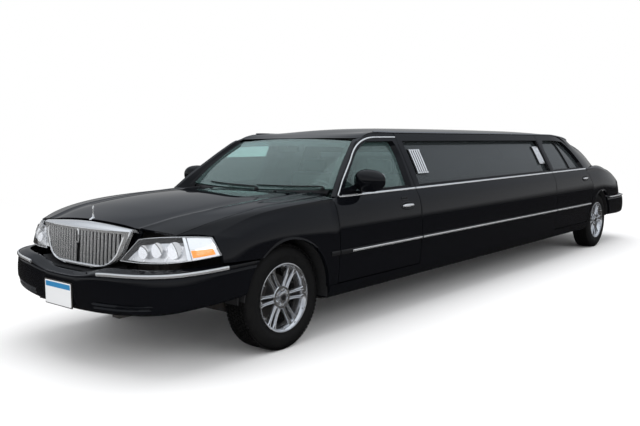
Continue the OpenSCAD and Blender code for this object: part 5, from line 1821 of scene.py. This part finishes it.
# %% [markdown]
# ## Tyre and rim
# Both are turned on a lathe, so their sections are spun about the axle, and six pairs of lofted
# spokes are set round the hub. They are drawn once, about their own axle line.

# %% Tyre and rim
SIDES = (("front_left", 1, FX, FRONT_Y), ("front_right", -1, FX, FRONT_Y),
         ("rear_left", 1, RX, REAR_Y), ("rear_right", -1, RX, REAR_Y))


def tyre_part():
    r, h, bead = AXLE_Z - 7.5, TYRE_HALF, RIM_R - 8
    profile = [(bead, -h + 22), (bead + 6, -h + 12), (bead + 16, -h + 8), (bead + 30, -h + 6),
               (bead + 34, -h + 4), (r - 74, -h + 0.5), (r - 62, -h), (r - 40, -h + 3),
               (r - 26, -h + 7), (r - 8, -h + 19), (r - 2, -h + 30), (r, -h + 45)]
    profile = profile + [(r, -40), (r - 6, -39), (r - 6, -34), (r, -33), (r, -12), (r - 6, -11),
            (r - 6, -6), (r, -5), (r, 5), (r - 6, 6), (r - 6, 11), (r, 12),
            (r, 33), (r - 6, 34), (r - 6, 39), (r, 40)]
    profile += [(a, -b) for a, b in profile[11::-1]]
    profile += [(bead + 10, h - 34), (bead + 10, -h + 34)]
    return lathe(profile, 128)


def barrel_part():
    h, edge, bead = TYRE_HALF, RIM_R, RIM_R - 8
    return lathe([(bead - 0.5, -h + 22), (edge, -h + 10), (edge - 6, -h + 6),
                  (bead - 12, -h + 20), (bead - 30, -h + 60), (bead - 30, h - 64),
                  (bead - 22, h - 46), (bead - 15, h - 24), (bead - 8, h - 14),
                  (edge - 9, h - 9), (edge - 8, h - 4.5), (edge - 5, h - 3), (edge - 1, h - 4),
                  (edge, h - 8), (bead - 0.5, h - 22), (bead - 4, h - 52),
                  (bead - 22, h - 70), (bead - 22, -h + 66), (bead - 8, -h + 40)], 128)


def spoke_part(side):
    """One of a pair: it narrows at the waist and bows outward to the rim."""
    rings = []
    for t in spread(0, 1, 14):
        x = mix(52, RIM_R - 20, t)
        c = side * (mix(19, 29, t) - 2 * math.sin(math.pi * t))
        w = mix(13, 11, math.sin(math.pi * t)) + 5 * max(t - 0.85, 0) / 0.15
        top = 80 + 7 * t - 6 * math.sin(math.pi * t)
        low = top - mix(30, 24, t)
        rings.append([(x, low, c - w), (x, top - 6, c - w), (x, top - 1.5, c - w + 3),
                      (x, top, c - w + 6), (x, top - 2.5, c), (x, top, c + w - 6),
                      (x, top - 1.5, c + w - 3), (x, top - 6, c + w), (x, low, c + w)])
    return loft(rings)


def hub_part():
    profile = [(21, -34), (70, -34), (72, -30), (72, 40), (76, 50), (79, 58), (79, 75),
               (75, 80), (60, 80), (57, 72), (40, 72), (37, 84), (21, 84)]
    return lathe(profile, 96)


centre_part = lathe([(0.3, 90), (20, 90), (19, 96.5), (0.3, 98)], 48)
cap_part = lathe([(0.3, 70), (35, 70), (35, 86), (33, 90), (27, 92), (20, 91), (17, 94),
                  (0.3, 95)], 64)
spokes = [turned(spoke_part(s), "Y", k * 60) for k in range(6) for s in (-1, 1)]
rim_solid = merged(barrel_part(), hub_part(), *spokes)
tyre_solid = tyre_part()


def set_down(part, k, x, y, z=AXLE_Z):
    v = np.asarray(part[0], float)
    if k < 0:
        v = v * [-1, -1, 1]
    return v + [x, k * y, z], part[1]


print("rim faces:", len(rim_solid[1]))

# %% [markdown]
# ## Four wheels
# Linked copies would save memory, but each wheel turns by itself. Displacement would make a mushy
# tread, so the points tree sets its hundreds of blocks.

# %% Four wheels
disc_part = lathe([(60, -22), (150, -22), (150, -12), (60, -12)], 96)
caliper_part = merged(*[turned(box_at((a, b, -52), (c, d, 52)), "Y", -20)
        for a, b, c, d in ((98, -45, 168, -24), (98, -10, 168, 12),
                           (150, -45, 172, 12))])
TREAD_ROWS, TREAD_BLOCKS = (-78, -51, -22.5, 0, 22.5, 51, 78), 78
NUT_CIRCLE, STUD_CIRCLE = 48, 213
for where, k, x, y in SIDES:
    wheel = f"wheel_{where}"
    piece(f"tyre_{where}_skin", *set_down(tyre_solid, k, x, y), wheel, RUBBER,
          replaces=(f"tyre_{where}",), sharp=35)
    piece(f"rim_{where}_skin", *set_down(rim_solid, k, x, y), wheel, ALLOY,
          replaces=(f"rim_{where}",), sharp=38)
    piece(f"cap_{where}", *set_down(cap_part, k, x, y), wheel, ALLOY)
    piece(f"disc_{where}", *set_down(disc_part, k, x, y), wheel, STEEL)
    piece(f"cap_centre_{where}", *set_down(centre_part, k, x, y), wheel, PLASTIC)
    # tread: seven rows of blocks, every second row half a block further round
    points, turns = [], []
    for row, off in enumerate(TREAD_ROWS):
        r = 351.3 - (off in (TREAD_ROWS[0], TREAD_ROWS[-1]))
        for i in range(TREAD_BLOCKS):
            a = 2 * math.pi * (i + 0.5 * (row % 2)) / TREAD_BLOCKS
            points.append((x + r * math.cos(a), k * y + off, AXLE_Z + r * math.sin(a)))
            turns.append((0, -a, 0))
    copies(f"tread_{where}", points, turns, (7.2, 18, 21), wheel, RUBBER, width=1.2)
    # lug nuts in the hub and small studs round the rim's edge
    nuts = [(x + NUT_CIRCLE * math.cos(t + 0.5), k * (y + 76),
             AXLE_Z + NUT_CIRCLE * math.sin(t + 0.5)) for t in around(6)]
    copies(f"nuts_{where}", nuts, [(math.pi / 2, 0, 0)] * 6, (1, 1, 1), wheel, CHROME,
           disc=(8.5, 14))
    studs = [(x + STUD_CIRCLE * math.cos(t), k * (y + TYRE_HALF - 12),
              AXLE_Z + STUD_CIRCLE * math.sin(t)) for t in around(12)]
    copies(f"studs_{where}", studs, [(math.pi / 2, 0, 0)] * 12, (1, 1, 1), wheel, CHROME,
           disc=(4, 9))
    on = "knuckle_" + where.split("_")[1] if where.startswith("front") else "body"
    piece(f"caliper_{where}", *set_down(caliper_part, k, x, y), on, IRON)
print("four wheels")

# %% [markdown]
# ## Padded blocks
# A seat is foam under leather, pulled in along its seams. Cloth simulation can swell such a pad; a
# rounded block with pleats in its formula looks the same behind tinted glass.

# %% Padded blocks
CABIN = 325
TRUNK = 585


def pad(low, high, r, pleat=1, n=7, deep=5, face=2, m=18):
    """A rounded block whose face along one axis is pleated across another."""
    low, high = np.array(low, float), np.array(high, float)
    c, h = (low + high) / 2, (high - low) / 2
    verts, faces = [], []
    for axis in range(3):
        for way in (-1, 1):
            base = len(verts)
            for i in range(m + 1):
                for j in range(m + 1):
                    p = np.zeros(3)
                    p[axis] = way * h[axis]
                    p[(axis + 1) % 3] = mix(-1, 1, i / m) * h[(axis + 1) % 3]
                    p[(axis + 2) % 3] = mix(-1, 1, j / m) * h[(axis + 2) % 3]
                    q = np.clip(p, -(h - r), h - r)
                    d = p - q
                    length = np.linalg.norm(d)
                    p = q + d / length * r if length > 1e-9 else p
                    span = p / h
                    wave = abs(math.sin(math.pi * n * (span[pleat] + 1) / 2)) ** 0.5
                    if face == axis or length > r * 0.999:
                        shift = deep * (wave - 1) * max(0, 1 - span[pleat] ** 8)
                        p[face] += shift * (1 if p[face] > 0 else -1) * 0.9
                    verts.append(c + p)
            for i in range(m):
                for j in range(m):
                    a = base + i * (m + 1) + j
                    faces.append((a, a + 1, a + m + 2, a + m + 1))
    return np.array(verts), faces


print("pads ready")

# %% [markdown]
# ## Seats
# Two front seats, a rear bench and one along the side, as in a limousine. Each pad is its own piece.


# %% Seats
def seat(name, low, high, fill=0.7, replaces=(), **more):
    obj = piece(name, *pad(low, high, **more), "body", LEATHER, replaces=replaces, sharp=70)


for side, k in HANDS:
    def ys(a, b):
        return sorted((k * a, k * b))

    y0, y1 = ys(112, 638)
    seat(f"front_cushion_{side}", (fa(-1738), y0, CABIN + 122), (fa(-1232), y1, CABIN + 290),
         r=42, replaces=("front_seats",))
    seat(f"front_back_{side}", (fa(-1893), y0, CABIN + 252), (fa(-1750), y1, CABIN + 772),
         r=42, face=0)
    y0, y1 = ys(245, 505)
    seat(f"head_rest_{side}", (fa(-1878), y0, CABIN + 776), (fa(-1790), y1, CABIN + 905),
         fill=0.8, r=36, n=1, deep=0, face=0)
    y0, y1 = ys(200, 550)
    base = box_at((fa(-1860), y0, CABIN + 8), (fa(-1300), y1, CABIN + 124))
    bevel(piece(f"front_seat_base_{side}", *base, "body", PLASTIC, smooth=False), 8)
seat("rear_cushion", (ra(652), -761, CABIN + 152), (ra(1128), 761, CABIN + 298), r=42, n=17,
     m=34, replaces=("rear_seats",))
seat("rear_back", (ra(486), -538, TRUNK + 32), (ra(640), 538, TRUNK + 568), r=42, n=13, face=0,
     m=30)
seat("side_bench", (ra(1192), -761, CABIN + 152), (fa(-2112), -285, CABIN + 298), r=42,
     pleat=0, n=25, m=44)
for name, low, high in (("rear_seat_base", (ra(690), -700, CABIN + 6), (ra(1080), 700, 480)),
        ("bench_base", (ra(1230), -720, CABIN + 6), (fa(-2150), -325, 480))):
    bevel(piece(name, *box_at(low, high), "body", LEATHER, smooth=False), 8)
print("seats")

# %% [markdown]
# ## Carpet, headliner and dashboard
# The headliner is the roof's formula a little lower. The dashboard could be carved from a block, but
# a section carried across the car, with a hood over the gauges, is smoother.

# %% Carpet, headliner and dashboard
piece("carpet", *box_at((ra(662), -790, CABIN + 0.5), (fa(-548), 790, CABIN + 6)), "body", CARPET)


def headliner():
    places, us = spread(0.03, 0.97, 40), spread(-0.9, 0.9, 16)
    return shell(*[[[roof_point(s, u, inward, corner=0) for u in us] for s in places]
                   for inward in (46.5, 50)])


piece("headliner", *headliner(), "body", HEADLINER)


def dash_part():
    rings = []
    for y in spread(-690, 690, 60):
        hood = 26 * math.exp(-((y - 370) / 190) ** 6)
        rings.append([(fa(-600), y, 702), (fa(-600), y, 965), (fa(-640), y, 976),
                      (fa(-700), y, 986 + hood * 0.5), (fa(-800), y, 988 + hood),
                      (fa(-858), y, 984 + hood), (fa(-900), y, 960 + hood * 0.6),
                      (fa(-938), y, 930), (fa(-934), y, 860), (fa(-925), y, 800),
                      (fa(-860), y, 745), (fa(-800), y, 702)])
    return loft(rings)


piece("dashboard_pad", *dash_part(), "body", LEATHER, slot="dash_plastic",
      replaces=("dashboard",), sharp=50)
vents = [(fa(-938), y, 905) for y in (-600, -80, 80, 600)]
copies("dash_vents", vents, [(0, -0.1, 0)] * 4, (8, 110, 46), "body", PLASTIC, width=3)
piece("gauge_panel", *box_at((fa(-941), 250, 868), (fa(-936), 490, 948)), "body", SEAL,
      slot=False)
copies("gauges", [(fa(-942), y, 910) for y in (310, 370, 430)], [(0, math.pi / 2, 0)] * 3,
       (1, 1, 1), "body", WHITE, disc=(24, 1.6))
v, f = loft([[(fa(-598) - 8, y, z) for y, z in ((-650, 950), (650, 950), (650, 958),
                                                (-650, 958))],
             [(fa(-540), y, z) for y, z in ((-650, 950), (650, 950), (650, 958),
                                            (-650, 958))]])
piece("dash_top_shelf", v, f, "body", PLASTIC, slot="dash_plastic", smooth=False)
# rear-view mirror under the windshield's upper edge
base = windshield_point(0, 0.86, 12)
piece("inside_mirror", *loft([[(base[0] - 34 + o, a, base[2] - 34 + b) for a, b in
        rounded(230, 62, 28, 6)] for o in (0, 16)]), "body", PLASTIC, sharp=40)
rods("inside_mirror_stalk", [[base + [-2, 0, 0], (base[0] - 24, 0, base[2] - 30)]], 6, "body",
     PLASTIC)
print("carpet, headliner and dashboard")

# %% [markdown]
# ## Door cards
# Trim boards cover the doors' inside and show when they open. They reuse the side surface, moved
# inward by the wall.


# %% Door cards
def door_card(front, rear, name, on):
    rows, shares = spread(0.12, 0.97, 10), spread(0.05, 0.93, 12)

    def point(w, s, more):
        x = mix(front(w), rear(w), s)
        return on_side(x, w, DOOR_LOW, wall_at(w) + more)

    both(name, shell([[point(w, s, 0.4) for s in shares] for w in rows],
                     [[point(w, s, 6) for s in shares] for w in rows]), on, LEATHER)


door_card(front_door_front, front_door_rear, "front_door_card", "front_door_SIDE")
door_card(rear_door_front, rear_door_rear, "rear_door_card", "rear_door_SIDE")
print("cabin fitted")

# %% [markdown]
# ## Carried-over parts
# Chassis, engine, axles and exhaust are hardly seen and right as the frame has them, so they only
# get a finish, and the blocky ones a bevel.

# %% Finishes of the carried-over parts
for names, material in (
        (("chassis_frame", "floor_pan", "engine_bay", "plate_brackets", "fuel_tank"), STEEL),
        (("engine", "propshaft", "front_suspension", "rear_axle", "knuckle_left",
          "knuckle_right"), IRON),
        (("exhaust",), PIPE), (("wheelhouses",), LINING), (("bar_cabinet",), WOOD),
        (("steering_wheel", "partition"), LEATHER)):
    for n in names:
        obj = NODES[n]
        obj.data.materials.clear()
        obj.data.materials.append(material)
        obj.data.polygons.foreach_set("material_index", [0] * len(obj.data.polygons))
        obj.data.update()
        if n in ("bar_cabinet", "partition", "floor_pan", "engine", "fuel_tank"):
            bevel(obj, 3)
shown = [n for n, o in NODES.items() if not o.hide_render]
print("carried over:", sorted(shown))

# %% [markdown]
# ## Floor
# A studio floor rises into the backdrop. This one stays flat and fades to white with distance, and
# it is dark to glossy rays so that the black paint keeps its depth.

# %% Floor
FADE_START, FADE_END = 5.5, 13
mesh = bpy.data.meshes.new("floor")
mesh.from_pydata([(-60, -60, 0), (60, -60, 0), (60, 60, 0), (-60, 60, 0)], [], [(0, 1, 2, 3)])
floor = bpy.data.objects.new("floor", mesh)
bpy.context.scene.collection.objects.link(floor)
m = bpy.data.materials.new("pale_floor")
m.use_nodes = True
n, k = m.node_tree.nodes, m.node_tree.links
path, dim = n.new("ShaderNodeLightPath"), n.new("ShaderNodeBsdfDiffuse")
blend = n.new("ShaderNodeMixShader")
p = n["Principled BSDF"]
settle(p, Base_Color=(0.93, 0.93, 0.935, 1), Roughness=0.9, Specular_IOR_Level=0.1)
settle(dim, Color=(0.035, 0.033, 0.031, 1))
# away from the car the floor fades into the white surround
geo, far = n.new("ShaderNodeNewGeometry"), n.new("ShaderNodeVectorMath")
reach, paper, fade = (n.new("ShaderNodeMapRange"), n.new("ShaderNodeEmission"),
        n.new("ShaderNodeMixShader"))
far.operation = "LENGTH"
reach.interpolation_type = "SMOOTHSTEP"
settle(reach, From_Min=FADE_START, From_Max=FADE_END)
wire(k, (geo, "Position", far, 0), (far, "Value", reach, "Value"), (reach, "Result", fade, "Fac"),
     (p, 0, fade, 1), (paper, 0, fade, 2), (path, "Is Glossy Ray", blend, "Fac"),
     (fade, 0, blend, 1), (dim, 0, blend, 2), (blend, 0, n["Material Output"], "Surface"))
mesh.materials.append(m)
print("floor")

# %% [markdown]
# ## Surround
# Black paint shows only what is around it. A sky image would do; a ramp over height is lighter:
# white for the eye, even for soft shade, banded grey for reflections.

# %% Surround
world = bpy.data.worlds.new("surround")
bpy.context.scene.world = world
world.use_nodes = True
n, k = world.node_tree.nodes, world.node_tree.links
path, co, split = (n.new("ShaderNodeLightPath"), n.new("ShaderNodeTexCoord"),
                   n.new("ShaderNodeSeparateXYZ"))
ramp = n.new("ShaderNodeValToRGB")
sky, seen = n["Background"], n.new("ShaderNodeBackground")
ambient, soft_mix = n.new("ShaderNodeBackground"), n.new("ShaderNodeMixShader")
both_paths, out = n.new("ShaderNodeMixShader"), n["World Output"]
direct = n.new("ShaderNodeMath")
direct.operation = "MAXIMUM"
wire(k, (co, "Generated", split, "Vector"), (split, "Z", ramp, "Fac"))
els = ramp.color_ramp.elements
els[0].position, els[0].color = 0.0, (0.12, 0.12, 0.12, 1)
els[1].position, els[1].color = 1.0, (0.85, 0.9, 0.96, 1)
for at, colour in ((0.02, (0.3, 0.3, 0.3, 1)), (0.05, (0.62, 0.63, 0.64, 1)),
                   (0.2, (0.5, 0.52, 0.55, 1)), (0.45, (0.42, 0.45, 0.5, 1)),
                   (0.7, (0.75, 0.8, 0.87, 1))):
    e = els.new(at)
    e.color = colour
wire(k, (ramp, "Color", sky, "Color"))
settle(sky, Strength=0.9)
settle(seen, Color=(1, 1, 1, 1))
settle(ambient, Color=(1, 1, 1, 1), Strength=1.05)
wire(k, (path, "Is Diffuse Ray", soft_mix, "Fac"), (sky, 0, soft_mix, 1),
     (ambient, 0, soft_mix, 2), (path, "Is Camera Ray", direct, 0),
     (path, "Is Transmission Ray", direct, 1), (direct, 0, both_paths, "Fac"),
     (soft_mix, 0, both_paths, 1), (seen, 0, both_paths, 2), (both_paths, 0, out, "Surface"))
print("surround")

# %% [markdown]
# ## Lamps
# Wide soft boxes shape the body without hard spots. A sun would be too sharp; their own images are
# hidden, and only their light is kept.


# %% Lamps
def lamp(name, at, look, size, watts, colour=(1, 1, 1)):
    data = bpy.data.lights.new(name, "AREA")
    data.shape, data.size, data.size_y = "RECTANGLE", *size
    data.energy, data.color = watts, colour
    obj = bpy.data.objects.new(name, data)
    bpy.context.scene.collection.objects.link(obj)
    obj.location = at
    obj.rotation_euler = (Vector(look) - Vector(at)).to_track_quat("-Z", "Y").to_euler()
    obj.visible_camera = obj.visible_glossy = False


lamp("overhead", (0, 0, 9), (0, 0, 0), (14, 8), 420)
lamp("left_side", (1.5, 10, 6.0), (0.5, 0, 0.8), (10, 3), 160, (0.97, 0.985, 1))
lamp("front", (11.5, 3, 5), (3, 0, 0.7), (5, 3), 110, (1, 0.99, 0.97))
print("three lamps")

# %% [markdown]
# ## Camera and view
# A low three-quarter view from the front left. Track To could aim the camera; fixed angles keep it
# from moving when the car changes.

# %% Camera and view
CAM_AT = Vector((FX / 1000 + 3.341, 4.016, 1.368))
yaw, dip, roll = math.radians(39.95), math.radians(5.63), math.radians(-0.297)
ahead = Vector((-math.cos(yaw) * math.cos(dip), -math.sin(yaw) * math.cos(dip), -math.sin(dip)))
right = ahead.cross(Vector((0, 0, 1))).normalized()
turn = Matrix((right, right.cross(ahead), -ahead)).transposed() @ Matrix.Rotation(roll, 3, "Z")
data = bpy.data.cameras.new("camera")
data.sensor_width, data.lens = 36, 39.29
camera = bpy.data.objects.new("camera", data)
bpy.context.scene.collection.objects.link(camera)
camera.matrix_world = Matrix.Translation(CAM_AT) @ turn.to_4x4()
scene = bpy.context.scene
scene.camera = camera
scene.view_settings.view_transform = "Standard"
scene.cycles.max_bounces = 14
scene.cycles.transmission_bounces = 12
scene.cycles.transparent_max_bounces = 16
scene.cycles.caustics_reflective = False
scene.cycles.caustics_refractive = False
